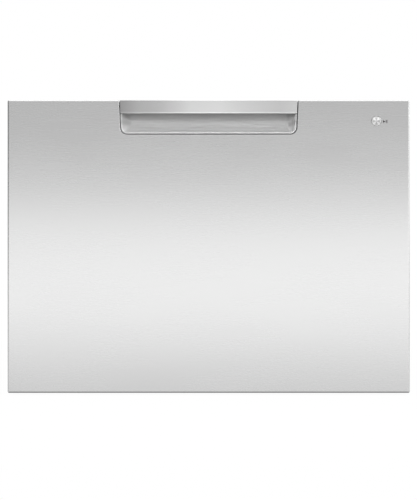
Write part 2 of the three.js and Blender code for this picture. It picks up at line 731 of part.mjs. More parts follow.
function chassisSide() {
  const out = CHASSIS_WIDTH / 2;
  const lip = out - FLANGE;
  const sheet = prism(
    "z",
    [
      [lip, CHASSIS_FRONT],
      [out, CHASSIS_FRONT],
      [out, REAR_Y],
      [lip, REAR_Y],
      [lip, REAR_Y - SHEET],
      [SIDE_IN, REAR_Y - SHEET],
      [SIDE_IN, CHASSIS_FRONT + SHEET],
      [lip, CHASSIS_FRONT + SHEET],
    ],
    SIDE_LOW,
    SIDE_TOP,
  );
  const runnerRoom = box(
    lip - 1, SIDE_IN - RUNNER_SHEET / 2,
    CHASSIS_FRONT - 1, CHASSIS_FRONT + SHEET + 1,
    RUNNER_Z - RUNNER_HEIGHT / 2 - 3, RUNNER_Z + RUNNER_HEIGHT / 2 + 3,
  );
  const panTop = SIDE_LOW + PAN_HEIGHT + SEAT;
  const panRoom = [CHASSIS_FRONT, REAR_Y - SHEET].map((y) =>
    box(lip - 1, SIDE_IN, y - 0.5, y + SHEET + 0.5, SIDE_LOW - 1, panTop),
  );
  return cut(sheet, runnerRoom, panRoom);
}

function chassisTop() {
  const half = CHASSIS_WIDTH / 2;
  const inside = half - FLANGE - SEAT;
  const under = CHASSIS_TOP - SHEET;
  const low = CHASSIS_TOP - FLANGE;
  const sheet = prism(
    "x",
    [
      [CHASSIS_FRONT, low],
      [CHASSIS_FRONT + SHEET, low],
      [CHASSIS_FRONT + SHEET, under],
      [REAR_Y - SHEET, under],
      [REAR_Y - SHEET, low],
      [REAR_Y, low],
      [REAR_Y, CHASSIS_TOP],
      [CHASSIS_FRONT, CHASSIS_TOP],
    ],
    -half,
    half,
  );
  const corners = [-half - 1, inside].flatMap((x) =>
    [CHASSIS_FRONT, REAR_Y - SHEET].map((y) =>
      box(x, x + half - inside + 1, y - 0.5, y + SHEET + 0.5, low - 1, under),
    ),
  );
  return cut(sheet, corners);
}

function chassisBack() {
  const half = SIDE_IN - SEAT;
  const low = PAN_BOTTOM + PAN_FLOOR + SEAT;
  const top = CHASSIS_TOP - SHEET - SEAT;
  const inner = BACK_Y - SHEET;
  const tip = BACK_Y + FLANGE;
  const panel = prism(
    "z",
    [
      [-half, inner],
      [half, inner],
      [half, tip],
      [half - SHEET, tip],
      [half - SHEET, BACK_Y],
      [-half + SHEET, BACK_Y],
      [-half + SHEET, tip],
      [-half, tip],
    ],
    low,
    top,
  );
  const panRoom = [-half - 1, half - SHEET - 1].map((x) =>
    box(x, x + SHEET + 2, BACK_Y, tip + 1, low - 1, low + PAN_HEIGHT),
  );
  const holes = [
    rod("y", SPIGOT_R + 2, BACK_Y - 3, BACK_Y + 2, [SPIGOT_X, SPIGOT_Z], 16),
    rod("y", VALVE_THREAD_R - 3, BACK_Y - 3, BACK_Y + 2, [VALVE_X, VALVE_Z], 16),
    rod("y", 11, BACK_Y - 3, BACK_Y + 2, [TERMINAL_X - 20, TERMINAL_Z], 12),
  ];
  return cut(panel, panRoom, holes);
}

function basePan() {
  const half = SIDE_IN - SEAT;
  const floor = PAN_BOTTOM + PAN_FLOOR;
  const wallTop = PAN_BOTTOM + PAN_HEIGHT;
  const trough = prism(
    "y",
    [
      [-half, PAN_BOTTOM],
      [half, PAN_BOTTOM],
      [half, wallTop],
      [half - PAN_WALL, wallTop],
      [half - PAN_WALL, floor],
      [-half + PAN_WALL, floor],
      [-half + PAN_WALL, wallTop],
      [-half, wallTop],
    ],
    CHASSIS_FRONT,
    REAR_Y,
  );
  const sill = box(
    -half + PAN_WALL / 2, half - PAN_WALL / 2,
    CHASSIS_FRONT + 0.5, CHASSIS_FRONT + PAN_WALL,
    PAN_BOTTOM + PAN_FLOOR / 2, PAN_BOTTOM + PAN_SILL,
  );
  const backSlots = [-half - 1, half - PAN_WALL - 1].map((x) =>
    box(x, x + PAN_WALL + 2, BACK_Y - SHEET - SEAT, BACK_Y + SEAT, floor, wallTop + 1),
  );
  return cut(join(trough, sill), backSlots);
}

function rubberFoot(x, y) {
  return rod("z", FOOT_R, 0, PAN_BOTTOM - SEAT, [x, y], 20);
}

// ---------- Runners and cradle, drawn for the +X side ----------

// A channel whose back wall is at x. Its open side faces the machine's middle or the side panel.
function channel(backX, openInwards, height) {
  const side = openInwards ? -1 : 1;
  const wallX = backX + side * RUNNER_SHEET;
  const tipX = backX + side * RUNNER_LIP;
  const low = RUNNER_Z - height / 2;
  const top = RUNNER_Z + height / 2;
  return prism(
    "y",
    [
      [backX, low],
      [tipX, low],
      [tipX, low + RUNNER_SHEET],
      [wallX, low + RUNNER_SHEET],
      [wallX, top - RUNNER_SHEET],
      [tipX, top - RUNNER_SHEET],
      [tipX, top],
      [backX, top],
    ],
    RUNNER_FRONT,
    RUNNER_FRONT + RUNNER_LENGTH,
  );
}

const OUTER_X = SIDE_IN - SEAT;
const MIDDLE_X = OUTER_X - NEST;
const INNER_X = MIDDLE_X - NEST - RUNNER_LIP;

const runnerOuter = () => channel(OUTER_X, true, RUNNER_HEIGHT);
const runnerMiddle = () => channel(MIDDLE_X, true, RUNNER_HEIGHT - 2 * NEST);
const runnerInner = () => channel(INNER_X, false, RUNNER_HEIGHT - 4 * NEST);

// An angle that the tub stands on, with a tab at the front that takes the drawer front.
function cradleRail() {
  const out = INNER_X - SEAT;
  const shelf = TUB_FLOOR - TUB_WALL - SEAT;
  const front = LINER_BACK + SEAT;
  const rear = RUNNER_FRONT + RUNNER_LENGTH - 20;
  const low = RUNNER_Z - RUNNER_HEIGHT / 2 + 4;
  const angle = prism(
    "y",
    [
      [out, low],
      [out, shelf],
      [out - CRADLE_LEDGE, shelf],
      [out - CRADLE_LEDGE, shelf - CRADLE_SHEET],
      [out - CRADLE_SHEET, shelf - CRADLE_SHEET],
      [out - CRADLE_SHEET, low],
    ],
    front + CRADLE_SHEET / 2,
    rear,
  );
  const tab = box(out - CRADLE_TAB, out - 0.2, front, front + CRADLE_SHEET, low - 1, shelf + 90);
  return join(angle, tab);
}

// ---------- Tub ----------

function tubRing(inset, z) {
  const outline = roundedOutline(
    TUB_WIDTH / 2 - inset,
    TUB_DEPTH / 2 - inset,
    Math.max(TUB_CORNER_R - inset, 5),
    4,
  );
  return levelRing(outline, 0, TUB_Y, z);
}

// Rings up the tub's wall from its floor, set out or in by a wall's thickness.
function tubWall(floor, outset) {
  const fillet = [0, 30, 60, 90].map((degrees) => {
    const a = THREE.MathUtils.degToRad(degrees);
    const inset = TUB_DRAFT + TUB_FILLET * (1 - Math.sin(a)) - outset;
    return tubRing(inset, floor + TUB_FILLET * (1 - Math.cos(a)));
  });
  return fillet;
}

// How far the tub's inner wall has leaned in, at a height above the fillet.
function tubLean(z) {
  return (TUB_DRAFT * (TUB_TOP - z)) / (TUB_TOP - TUB_FLOOR - TUB_FILLET);
}

function tub() {
  const floor = TUB_FLOOR;
  const under = floor - TUB_WALL;
  const outside = loft([
    ...tubWall(under, TUB_WALL),
    tubRing(-TUB_WALL, TUB_TOP - RIM_THICK),
    tubRing(-RIM_OUTSET, TUB_TOP - RIM_THICK),
    tubRing(-RIM_OUTSET, TUB_TOP),
  ]);
  const inside = loft([...tubWall(floor, 0), tubRing(0, TUB_TOP), tubRing(0, TUB_TOP + 5)]);
  const recess = floor - RECESS_DEPTH;
  const hollow = (extra, lower) => [
    rod("z", RECESS_R + extra, recess - lower, floor + (lower ? -1 : 1), [0, TUB_Y], 30),
    rod("z", SUMP_R + extra, SUMP_BOTTOM - lower, recess + 1, [0, TUB_Y], 24),
    rod("z", WELL_R + extra, WELL_BOTTOM - lower, recess + 1, [0, WELL_Y], 20),
  ];
  const shaftHole = rod("z", SHAFT_R + RUN, SUMP_BOTTOM - 10, SUMP_BOTTOM + 2, [0, TUB_Y], 16);
  const drainHole = rod("z", 9, WELL_BOTTOM - 10, WELL_BOTTOM + 2, [0, WELL_Y], 16);
  const legHole = (at) => rod("z", HEATER_TUBE_R + 2 * SEAT, recess - 10, recess + 2, at, 12);
  const holes = [shaftHole, drainHole, ...heaterEnds().map(legHole)];
  return cut(join(outside, hollow(TUB_WALL, TUB_WALL)), inside, hollow(0, 0), holes);
}

function tubSeal() {
  const low = TUB_TOP + SEAT;
  const top = TUB_TOP + TUB_SEAL_HEIGHT + SEAT;
  const inner = -0.8;
  const outer = inner - TUB_SEAL_WIDTH;
  const ring = (inset, z) => tubRing(inset, z);
  return loft(
    [
      ring(inner, low),
      ring(outer, low),
      ring(outer, low + 2),
      ring(outer + 1.4, top - 0.5),
      ring((inner + outer) / 2, top),
      ring(inner - 1.4, top - 0.5),
      ring(inner, low + 2),
    ],
    true,
  );
}

// ---------- Sump, pump, heater and filter ----------

const RECESS_FLOOR = TUB_FLOOR - RECESS_DEPTH;

function heaterEnds() {
  const a = THREE.MathUtils.degToRad(HEATER_GAP_DEG);
  return [1, -1].map((s) => [s * HEATER_R * Math.sin(a), TUB_Y - HEATER_R * Math.cos(a)]);
}

function heatingElement() {
  const z = RECESS_FLOOR + SEAT + evenRadius(HEATER_TUBE_R, 6);
  const low = RECESS_FLOOR - 14;
  const steps = 20;
  const points = Array.from({ length: steps + 1 }, (_, i) => {
    const degrees = HEATER_GAP_DEG + ((360 - 2 * HEATER_GAP_DEG) * i) / steps;
    const a = THREE.MathUtils.degToRad(degrees);
    return [HEATER_R * Math.sin(a), TUB_Y - HEATER_R * Math.cos(a), z];
  });
  const [right, left] = heaterEnds();
  return wire([[...right, low], ...points, [...left, low]], HEATER_TUBE_R, 6);
}

// Pump cover and the hollow post that carries the spray arm.
function pumpCover() {
  const low = RECESS_FLOOR + SEAT;
  const plate = 3.5;
  const bossTop = TUB_FLOOR + 4;
  const body = turned(
    [
      [SHAFT_R + 1, low],
      [PUMP_COVER_R, low],
      [PUMP_COVER_R, low + plate - 1],
      [PUMP_COVER_R - 2, low + plate],
      [POST_R + 14, low + plate],
      [POST_R + 5, bossTop],
      [POST_R, bossTop],
      [POST_R, POST_TOP],
      [SHAFT_R + 1, POST_TOP],
    ],
    0,
    TUB_Y,
  );
  const inlets = Array.from({ length: 8 }, (_, i) => {
    const a = (2 * Math.PI * (i + 0.5)) / 8;
    const r = 0.72 * SUMP_R;
    return rod("z", 6, low - 1, low + plate + 1, [r * Math.cos(a), TUB_Y + r * Math.sin(a)], 6);
  });
  return cut(body, inlets);
}

function filterPlate() {
  const low = RECESS_FLOOR + SEAT;
  const rimTop = TUB_FLOOR - SEAT;
  const rimR = RECESS_R - SEAT;
  const hub = POST_R + 15;
  const plate = turned(
    [
      [hub, rimTop - FILTER_SHEET],
      [rimR - FILTER_SHEET, rimTop - FILTER_SHEET],
      [rimR - FILTER_SHEET, low],
      [rimR, low],
      [rimR, rimTop],
      [hub, rimTop],
    ],
    0,
    TUB_Y,
    30,
  );
  return cut(plate, rod("z", WELL_R - 3, RECESS_FLOOR - 1, TUB_FLOOR + 1, [0, WELL_Y], 24));
}

// A bucket that hangs in the filter plate's hole, with a grip across its top.
function filterCup() {
  const seat = TUB_FLOOR;
  const outR = WELL_R - 3 - RUN;
  const flangeR = WELL_R + 1;
  const wall = 1.6;
  const cup = turned(
    [
      [0, WELL_BOTTOM + 1],
      [outR - 4, WELL_BOTTOM + 1],
      [outR, WELL_BOTTOM + 5],
      [outR, seat],
      [flangeR, seat],
      [flangeR, seat + wall],
      [outR - wall, seat + wall],
      [outR - wall, WELL_BOTTOM + 6],
      [outR - 5, WELL_BOTTOM + 1 + wall],
      [0, WELL_BOTTOM + 1 + wall],
    ],
    0,
    WELL_Y,
    20,
  );
  const grip = box(-outR + 1, outR - 1, WELL_Y - 3, WELL_Y + 3, seat - 4, ARM_LOW - 4);
  const fingerRoom = box(-outR + 9, outR - 9, WELL_Y - 4, WELL_Y + 4, seat - 5, seat + 1);
  return join(cup, cut(grip, fingerRoom));
}

// The impeller is moulded onto the shaft of the motor's rotor.
function washImpeller() {
  const low = SUMP_BOTTOM + 6;
  const disc = 3;
  const hub = turned(
    [
      [SHAFT_R / 2, low],
      [IMPELLER_R, low],
      [IMPELLER_R, low + disc],
      [SHAFT_R + 6, low + disc],
      [SHAFT_R + 4, low + IMPELLER_HEIGHT - 1],
      [SHAFT_R / 2, low + IMPELLER_HEIGHT - 1],
    ],
    0,
    TUB_Y,
    24,
  );
  const vanes = Array.from({ length: 6 }, (_, i) =>
    box(SHAFT_R + 3, IMPELLER_R - 1, -1.2, 1.2, low + disc - 1, low + IMPELLER_HEIGHT - 3)
      .rotate([0, 0, 60 * i])
      .translate([0, TUB_Y, 0]),
  );
  return join(hub, vanes);
}

function motorRotor() {
  const low = MOTOR_BOTTOM + MOTOR_WALL + 4;
  return turned(
    [
      [0, MOTOR_BOTTOM + MOTOR_WALL + SEAT],
      [SHAFT_R, MOTOR_BOTTOM + MOTOR_WALL + SEAT],
      [SHAFT_R, low],
      [ROTOR_R, low],
      [ROTOR_R, low + 26],
      [SHAFT_R, low + 26],
      [SHAFT_R, SUMP_BOTTOM + 6 + IMPELLER_HEIGHT],
      [0, SUMP_BOTTOM + 6 + IMPELLER_HEIGHT],
    ],
    0,
    TUB_Y,
    24,
  );
}

const MOTOR_TOP = SUMP_BOTTOM - TUB_WALL - SEAT;

function motorHousing() {
  const inner = MOTOR_R - MOTOR_WALL;
  const cup = turned(
    [
      [0, MOTOR_BOTTOM],
      [MOTOR_R - 4, MOTOR_BOTTOM],
      [MOTOR_R, MOTOR_BOTTOM + 4],
      [MOTOR_R, MOTOR_TOP],
      [inner, MOTOR_TOP],
      [inner, MOTOR_BOTTOM + MOTOR_WALL],
      [0, MOTOR_BOTTOM + MOTOR_WALL],
    ],
    0,
    TUB_Y,
  );
  const fins = [0, 90, 180, 270].map((degrees) =>
    box(MOTOR_R - 1, MOTOR_R + 10, -5, 5, MOTOR_TOP - 8, MOTOR_TOP)
      .rotate([0, 0, degrees + 45])
      .translate([0, TUB_Y, 0]),
  );
  return join(cup, fins);
}

function motorStator() {
  const low = MOTOR_BOTTOM + MOTOR_WALL + SEAT;
  const out = MOTOR_R - MOTOR_WALL - SEAT;
  return turned([[STATOR_IN_R, low], [out, low], [out, low + 34], [STATOR_IN_R, low + 34]], 0, TUB_Y);
}

function drainPump() {
  const top = WELL_BOTTOM - TUB_WALL - SEAT;
  const volute = rod("z", DRAIN_PUMP_R, top - 22, top, [0, WELL_Y], 20);
  const motor = rod("z", 0.75 * DRAIN_PUMP_R, MOTOR_BOTTOM, top - 21, [0, WELL_Y], 20);
  const outlet = rod("x", DRAIN_HOSE_R - 1, 0, DRAIN_PUMP_R + OUTLET_LENGTH, [WELL_Y, DRAIN_OUTLET_Z], 12);
  return join(volute, motor, outlet);
}

// The drain hose runs from the pump's outlet back under the tub to the block on its end.
const OUTLET_LENGTH = 16;
const DRAIN_OUTLET_Z = WELL_BOTTOM - TUB_WALL - SEAT - 11;
const BLOCK_WIDTH = 32;
const BLOCK_DEPTH = 26;
const BLOCK_X = TUB_WIDTH / 2 - 61;
const BLOCK_Y = TUB_Y + TUB_DEPTH / 2 - 27.3;

function drainHose() {
  const start = DRAIN_PUMP_R + OUTLET_LENGTH + SEAT;
  const end = BLOCK_Y - BLOCK_DEPTH / 2 + 3;
  const tube = hose(
    [
      [start, WELL_Y, DRAIN_OUTLET_Z],
      [start + 8, WELL_Y, DRAIN_OUTLET_Z],
      [start + 20, WELL_Y, DRAIN_OUTLET_Z],
      [start + 75, WELL_Y + 25, DRAIN_OUTLET_Z - 2],
      [BLOCK_X - 30, WELL_Y + 110, DRAIN_OUTLET_Z - 8],
      [BLOCK_X - 2, end - 90, HOSE_Z + 6],
      [BLOCK_X, end - 24, HOSE_Z],
      [BLOCK_X, end - 10, HOSE_Z],
      [BLOCK_X, end, HOSE_Z],
    ],
    DRAIN_HOSE_R,
    8,
    18,
  );
  return join(tube, hoseBlock());
}

// The block hangs from the tub and joins the drain hose to the service hose.
function hoseBlock() {
  const top = TUB_FLOOR - TUB_WALL - SEAT;
  const around = (halfX, halfY, z0, z1) =>
    box(BLOCK_X - halfX, BLOCK_X + halfX, BLOCK_Y - halfY, BLOCK_Y + halfY, z0, z1);
  return join(
    around(BLOCK_WIDTH / 2, BLOCK_DEPTH / 2, HOSE_Z - HOSE_BLOCK / 2, HOSE_Z + HOSE_BLOCK / 2),
    around(BLOCK_WIDTH / 2 - 4, 3, HOSE_Z, top),
    around(BLOCK_WIDTH / 2, BLOCK_DEPTH / 2 - 3, top - 3, top),
  );
}

// The service hose lies across the back of the base pan, from the spigot to the block under the tub.
// Its first end stays and its last rides with the drawer.
function serviceHose() {
  const start = BACK_Y - SHEET - SPIGOT_INSIDE - SEAT;
  const end = BLOCK_X - BLOCK_WIDTH / 2 - SEAT;
  const lie = PAN_BOTTOM + PAN_FLOOR + 2 * SEAT + HOSE_R;
  const along = (share) => SPIGOT_X + share * (end - SPIGOT_X);
  return hose(
    [
      [SPIGOT_X, start, SPIGOT_Z],
      [SPIGOT_X, start - 8, SPIGOT_Z],
      [SPIGOT_X, start - 18, SPIGOT_Z],
      [SPIGOT_X + 10, start - 48, lie + 8],
      [along(0.13), start - 72, lie + 1],
      [along(0.27), start - 66, lie],
      [along(0.42), start - 40, lie],
      [along(0.58), start - 30, lie],
      [along(0.74), start - 50, lie + 1],
      [end - 70, BLOCK_Y + 6, HOSE_Z - 8],
      [end - 24, BLOCK_Y, HOSE_Z],
      [end - 10, BLOCK_Y, HOSE_Z],
      [end, BLOCK_Y, HOSE_Z],
    ],
    HOSE_R,
    8,
    30,
  );
}

// Two hollow blades, thin at their tips, on a hub that caps the post.
function sprayArm() {
  const mid = ARM_LOW + ARM_HEIGHT / 2;
  const stations = [
    [-ARM_REACH, 6, 0.45],
    [-ARM_REACH + 6, 15, 0.75],
    [-0.7 * ARM_REACH, 20, 0.9],
    [-0.3 * ARM_REACH, 23, 1],
    [0, 25, 1],
    [0.3 * ARM_REACH, 23, 1],
    [0.7 * ARM_REACH, 20, 0.9],
    [ARM_REACH - 6, 15, 0.75],
    [ARM_REACH, 6, 0.45],
  ];
  const rings = stations.map(([x, half, fill]) =>
    roundedOutline(half, (fill * ARM_HEIGHT) / 2, 0.35 * fill * ARM_HEIGHT, 2).map(
      ([u, v]) => new THREE.Vector3(x, TUB_Y + u, mid + v),
    ),
  );
  const hubLow = TUB_FLOOR + 4 + SEAT;
  const hub = rod("z", ARM_HUB_R, hubLow, POST_TOP + 3, [0, TUB_Y], 20);
  const bore = rod("z", POST_R + RUN, hubLow - 1, POST_TOP + SEAT, [0, TUB_Y], 20);
  return cut(join(loft(rings), hub), bore);
}

// ---------- Lid and its drives, drawn for the +X side ----------

const LID_FRONT = CHASSIS_FRONT + LID_MARGIN;
const LID_REAR = TUB_Y + TUB_DEPTH / 2 + RIM_OUTSET + 2;

function lidPanel() {
  const midY = (LID_FRONT + LID_REAR) / 2;
  const halfY = (LID_REAR - LID_FRONT) / 2;
  const ring = (inset, z) => levelRing(roundedOutline(LID_HALF - inset, halfY - inset, 20, 3), 0, midY, z);
  const shell = loft([
    ring(3, LID_LOW),
    ring(0, LID_LOW + 3),
    ring(0, LID_LOW + LID_HEIGHT),
    ring(LID_WALL, LID_LOW + LID_HEIGHT),
    ring(LID_WALL, LID_LOW + LID_WALL),
  ]);
  const ribTop = LID_LOW + LID_HEIGHT - 3;
  const endX = LID_HALF - LID_WALL / 2;
  const along = [-0.5, 0, 0.5].map((t) => {
    const y = midY + t * halfY;
    return box(-endX, endX, y - 1, y + 1, LID_LOW + 1, ribTop);
  });
  const across = [-0.6, -0.2, 0.2, 0.6].map((t) => {
    const x = t * LID_HALF;
    return box(x - 1, x + 1, LID_FRONT + LID_WALL / 2, LID_REAR - LID_WALL / 2, LID_LOW + 1.5, ribTop - 2);
  });
  return join(shell, along, across);
}

const GEAR_IN = LID_HALF + SEAT;
const GEAR_OUT = GEAR_IN + GEAR_WIDTH;
const TOOTH_PITCH = Math.PI * RACK_MODULE;

// The rack is moulded onto the lid's side. Its teeth point to +Y and mesh with the pinion behind it.
function lidRack() {
  const pitchY = PINION_Y - PINION_PITCH_R;
  const low = LID_LOW - 4;
  const top = PINION_Z + LID_TRAVEL + 2 * TOOTH_PITCH;
  const root = pitchY - DEDENDUM;
  const bar = box(GEAR_IN, GEAR_OUT, root - 7, root, low, top);
  const web = box(
    LID_HALF - LID_WALL / 2, GEAR_IN + 1,
    root - 6, root - 1,
    LID_LOW + LID_HEIGHT / 4, LID_LOW + LID_HEIGHT - 1,
  );
  const halfPitch = TOOTH_PITCH / 4 - BACKLASH / 2;
  const halfRoot = halfPitch + DEDENDUM * Math.tan(PRESSURE_ANGLE);
  const halfTip = halfPitch - ADDENDUM * Math.tan(PRESSURE_ANGLE);
  // A tooth space of the rack faces the pinion's tooth at the pitch point.
  const teeth = [];
  for (let n = -4; n < 4; n++) {
    const z = PINION_Z + (n + 0.5) * TOOTH_PITCH;
    if (z - halfRoot < low || z + halfRoot > top) continue;
    const section = [
      [root - 0.5, z - halfRoot],
      [root, z - halfRoot],
      [pitchY + ADDENDUM, z - halfTip],
      [pitchY + ADDENDUM, z + halfTip],
      [root, z + halfRoot],
      [root - 0.5, z + halfRoot],
    ];
    teeth.push(prism("x", section, GEAR_IN, GEAR_OUT));
  }
  return join(bar, web, teeth);
}

// Half of a tooth's angle at a radius, from the involute that starts at the base circle.
function toothHalfAngle(radius) {
  const base = PINION_PITCH_R * Math.cos(PRESSURE_ANGLE);
  const involute = (a) => Math.tan(a) - a;
  const atPitch = Math.PI / (2 * PINION_TEETH) - BACKLASH / 2 / PINION_PITCH_R;
  const angle = Math.acos(Math.min(1, base / Math.max(radius, base)));
  return atPitch + involute(PRESSURE_ANGLE) - involute(angle);
}

function lidPinion() {
  const rootR = PINION_PITCH_R - DEDENDUM;
  const tipR = PINION_PITCH_R + ADDENDUM;
  const radii = [rootR + 0.3, PINION_PITCH_R, tipR];
  const outline = [];
  for (let n = 0; n < PINION_TEETH; n++) {
    const middle = Math.PI + (2 * Math.PI * n) / PINION_TEETH;
    const step = Math.PI / PINION_TEETH;
    const sides = radii.map((r) => [r, Math.min(toothHalfAngle(r), 0.8 * step)]);
    sides.forEach(([r, a]) => outline.push([r, middle - a]));
    [...sides].reverse().forEach(([r, a]) => outline.push([r, middle + a]));
    outline.push([rootR, middle + step]);
  }
  const points = outline.map(([r, a]) => [PINION_Y + r * Math.cos(a), PINION_Z + r * Math.sin(a)]);
  const shaft = rod("x", PINION_SHAFT_R, GEAR_OUT - 1, SIDE_IN - SEAT - 2, [PINION_Y, PINION_Z], 12);
  return join(prism("x", points, GEAR_IN + 0.4, GEAR_OUT), shaft);
}

// Gearbox plate behind the pinion and the motor beside it, both on the side panel.
function lidMotor() {
  const out = SIDE_IN - SEAT;
  const low = LID_LOW + 2;
  const top = CHASSIS_TOP - SHEET - 3;
  const behind = PINION_Y + PINION_PITCH_R + ADDENDUM + 1;
  const plate = box(out - GEARBOX_PLATE, out, PINION_Y - 22, behind + 40, low, top);
  const motor = box(GEAR_IN + 1.5, out, behind, behind + 46, low, top);
  const bore = rod("x", PINION_SHAFT_R + RUN, out - GEARBOX_PLATE - 1, out + 1, [PINION_Y, PINION_Z], 12);
  return cut(join(plate, motor), bore);
}

// ---------- Dispenser ----------

const wallLeanAtDispenser = tubLean(DISPENSER_Z - DISPENSER_HEIGHT / 2);
const DISPENSER_BACK = TUB_Y - TUB_DEPTH / 2 + wallLeanAtDispenser + SEAT;
const DISPENSER_FACE = DISPENSER_BACK + DISPENSER_THICK;
const RAIL = 3; // width of the rails that the cover slides in
const RAIL_HOOK = 1.5;

function dispenserBody() {
  const ring = (inset, y) => {
    const outline = roundedOutline(DISPENSER_WIDTH / 2 - inset, DISPENSER_HEIGHT / 2 - inset, 14, 3);
    return uprightRing(outline, y, DISPENSER_Z).map((p) => p.setX(p.x + DISPENSER_X));
  };
  const body = loft([ring(0, DISPENSER_BACK), ring(0, DISPENSER_FACE - 2), ring(2, DISPENSER_FACE)]);
  const cup = box(
    CUP_X - CUP_WIDTH / 2, CUP_X + CUP_WIDTH / 2,
    DISPENSER_FACE - CUP_DEPTH, DISPENSER_FACE + 1,
    DISPENSER_Z - CUP_HEIGHT / 2, DISPENSER_Z + CUP_HEIGHT / 2,
  );
  const coverHalf = CUP_HEIGHT / 2 + COVER_MARGIN;
  const railEnd = CUP_X + 1.5 * CUP_WIDTH + 2 * COVER_MARGIN + 2;
  const hookFace = DISPENSER_FACE + COVER_THICK + 2 * RUN;
  // An angle that hooks over the cover's edge: side is 1 above the cover and -1 below it.
  const rail = (side) =>
    prism(
      "x",
      [
        [DISPENSER_FACE - 1, coverHalf + RUN],
        [hookFace, coverHalf + RUN],
        [hookFace, coverHalf - RAIL_HOOK],
        [hookFace + RAIL_HOOK, coverHalf - RAIL_HOOK],
        [hookFace + RAIL_HOOK, coverHalf + RUN + RAIL],
        [DISPENSER_FACE - 1, coverHalf + RUN + RAIL],
      ].map(([y, z]) => [y, DISPENSER_Z + side * z]),
      CUP_X - CUP_WIDTH / 2 - COVER_MARGIN - 1,
      railEnd,
    );
  const cupBack = DISPENSER_FACE - CUP_DEPTH;
  const filler = rod("y", RINSE_CAP_R - 4, cupBack, DISPENSER_FACE + 1, [RINSE_X, DISPENSER_Z], 20);
  return cut(join(body, rail(1), rail(-1)), cup, filler);
}

function dispenserCover() {
  const half = CUP_WIDTH / 2 + COVER_MARGIN;
  const tall = CUP_HEIGHT / 2 + COVER_MARGIN;
  const face = DISPENSER_FACE + RUN;
  const upright = (x0, x1, y0, y1, halfZ) => box(x0, x1, y0, y1, DISPENSER_Z - halfZ, DISPENSER_Z + halfZ);
  const plate = upright(CUP_X - half, CUP_X + half, face, face + COVER_THICK, tall);
  const grip = upright(CUP_X - half + 5, CUP_X - half + 9, face + 1, face + COVER_THICK + 3, CUP_HEIGHT / 3);
  return join(plate, grip);
}

function rinseCap() {
  const face = DISPENSER_FACE + RUN;
  const plugR = RINSE_CAP_R - 4 - RUN;
  const cap = turnedAlongY(
    [
      [0, face - 7],
      [plugR, face - 7],
      [plugR, face],
      [RINSE_CAP_R, face],
      [RINSE_CAP_R, face + 1.5],
      [RINSE_CAP_R - 1.5, face + 2.5],
      [0, face + 2.5],
    ],
    RINSE_X,
    DISPENSER_Z,
  );
  const reach = RINSE_CAP_R - 3;
  const grip = box(RINSE_X - reach, RINSE_X + reach, face + 2, face + 6, DISPENSER_Z - 2, DISPENSER_Z + 2);
  return join(cap, grip);
}

// ---------- Basket ----------

const WIRE_HALF = (WIRE_R * Math.sqrt(Math.PI)) / 2; // half the height of a square wire section
const WIRE_LAYER = 1.9 * WIRE_HALF; // crossing wires are welded a little into each other
const UPPER_Z = BASKET_FLOOR + WIRE_LAYER; // the upper layer of the floor's wires
const ROD_R = evenRadius(WIRE_R, 6);
const TINE_ROD_Z = UPPER_Z + WIRE_HALF + ROD_R + RUN;
const CLIP_BORE = (ROD_R + SEAT) / Math.cos(Math.PI / 8); // its flats clear the rod
const CLIPS = [2.5, 6.5]; // where the clips stand, counted in tines from the front

// Tines, shelf bars and the wires between them share one grid, so that the clips fall between tines.
const gridY = (i) => BASKET_Y - BASKET_HALF_Y + TINE_START + i * TINE_PITCH;

// The basket's sides lean outwards; this is how far at a height.
const leanAt = (z) => (BASKET_LEAN * (z - BASKET_FLOOR)) / (BASKET_RIM - BASKET_FLOOR);

const basketX = (z) => BASKET_HALF_X - BASKET_LEAN + leanAt(z);
const basketY = (z) => BASKET_HALF_Y - BASKET_LEAN + leanAt(z);

const FLOOR_HOOP_Z = UPPER_Z - 1;
const [, ...WALL_LEVELS] = spread(FLOOR_HOOP_Z, BASKET_RIM, HOOPS);
const LAST_WIRE_X = basketX(BASKET_FLOOR) - BASKET_CORNER_R - 2 * WIRE_R;
const LENGTHWISE_X = spread(-LAST_WIRE_X, LAST_WIRE_X, WIRES_ALONG_Y);
const CROSSWISE_Y = [0.5, CLIPS[0], 4.5, CLIPS[1], TINES - 1.5].map(gridY);

// Where the level wires of the side walls end, past their bends.
const bendEnd = (z) => basketX(z) - BASKET_CORNER_R - WIRE_R;

const CLIP_HALF = CLIP_BORE + CLIP_WALL;
const clipBore = (x, y, z) => rod("y", CLIP_BORE, y - CLIP_WIDTH, y + CLIP_WIDTH, [x, z], 8);

// A clip on the floor's wires, open at the top, that a rod of tines snaps into.
function tineClip(x, y) {
  const halfY = CLIP_WIDTH / 2;
  const top = TINE_ROD_Z + CLIP_WALL / 2;
  const body = box(x - CLIP_HALF, x + CLIP_HALF, y - halfY, y + halfY, UPPER_Z, top);
  return cut(body, clipBore(x, y, TINE_ROD_Z));
}

// A clip on the side wall that a shelf hangs in.
function shelfClip(y) {
  const slice = (x0, x1, halfY, halfZ) =>
    box(x0, x1, y - halfY, y + halfY, SHELF_Z - halfZ, SHELF_Z + halfZ);
  const body = slice(SHELF_HINGE_X - CLIP_HALF, SHELF_HINGE_X + CLIP_HALF, CLIP_WIDTH / 2, CLIP_HALF);
  const reach = slice(SHELF_HINGE_X, basketX(SHELF_Z) + WALL_OUT, CLIP_WIDTH / 3, 3);
  return cut(join(body, reach), clipBore(SHELF_HINGE_X, y, SHELF_Z));
}

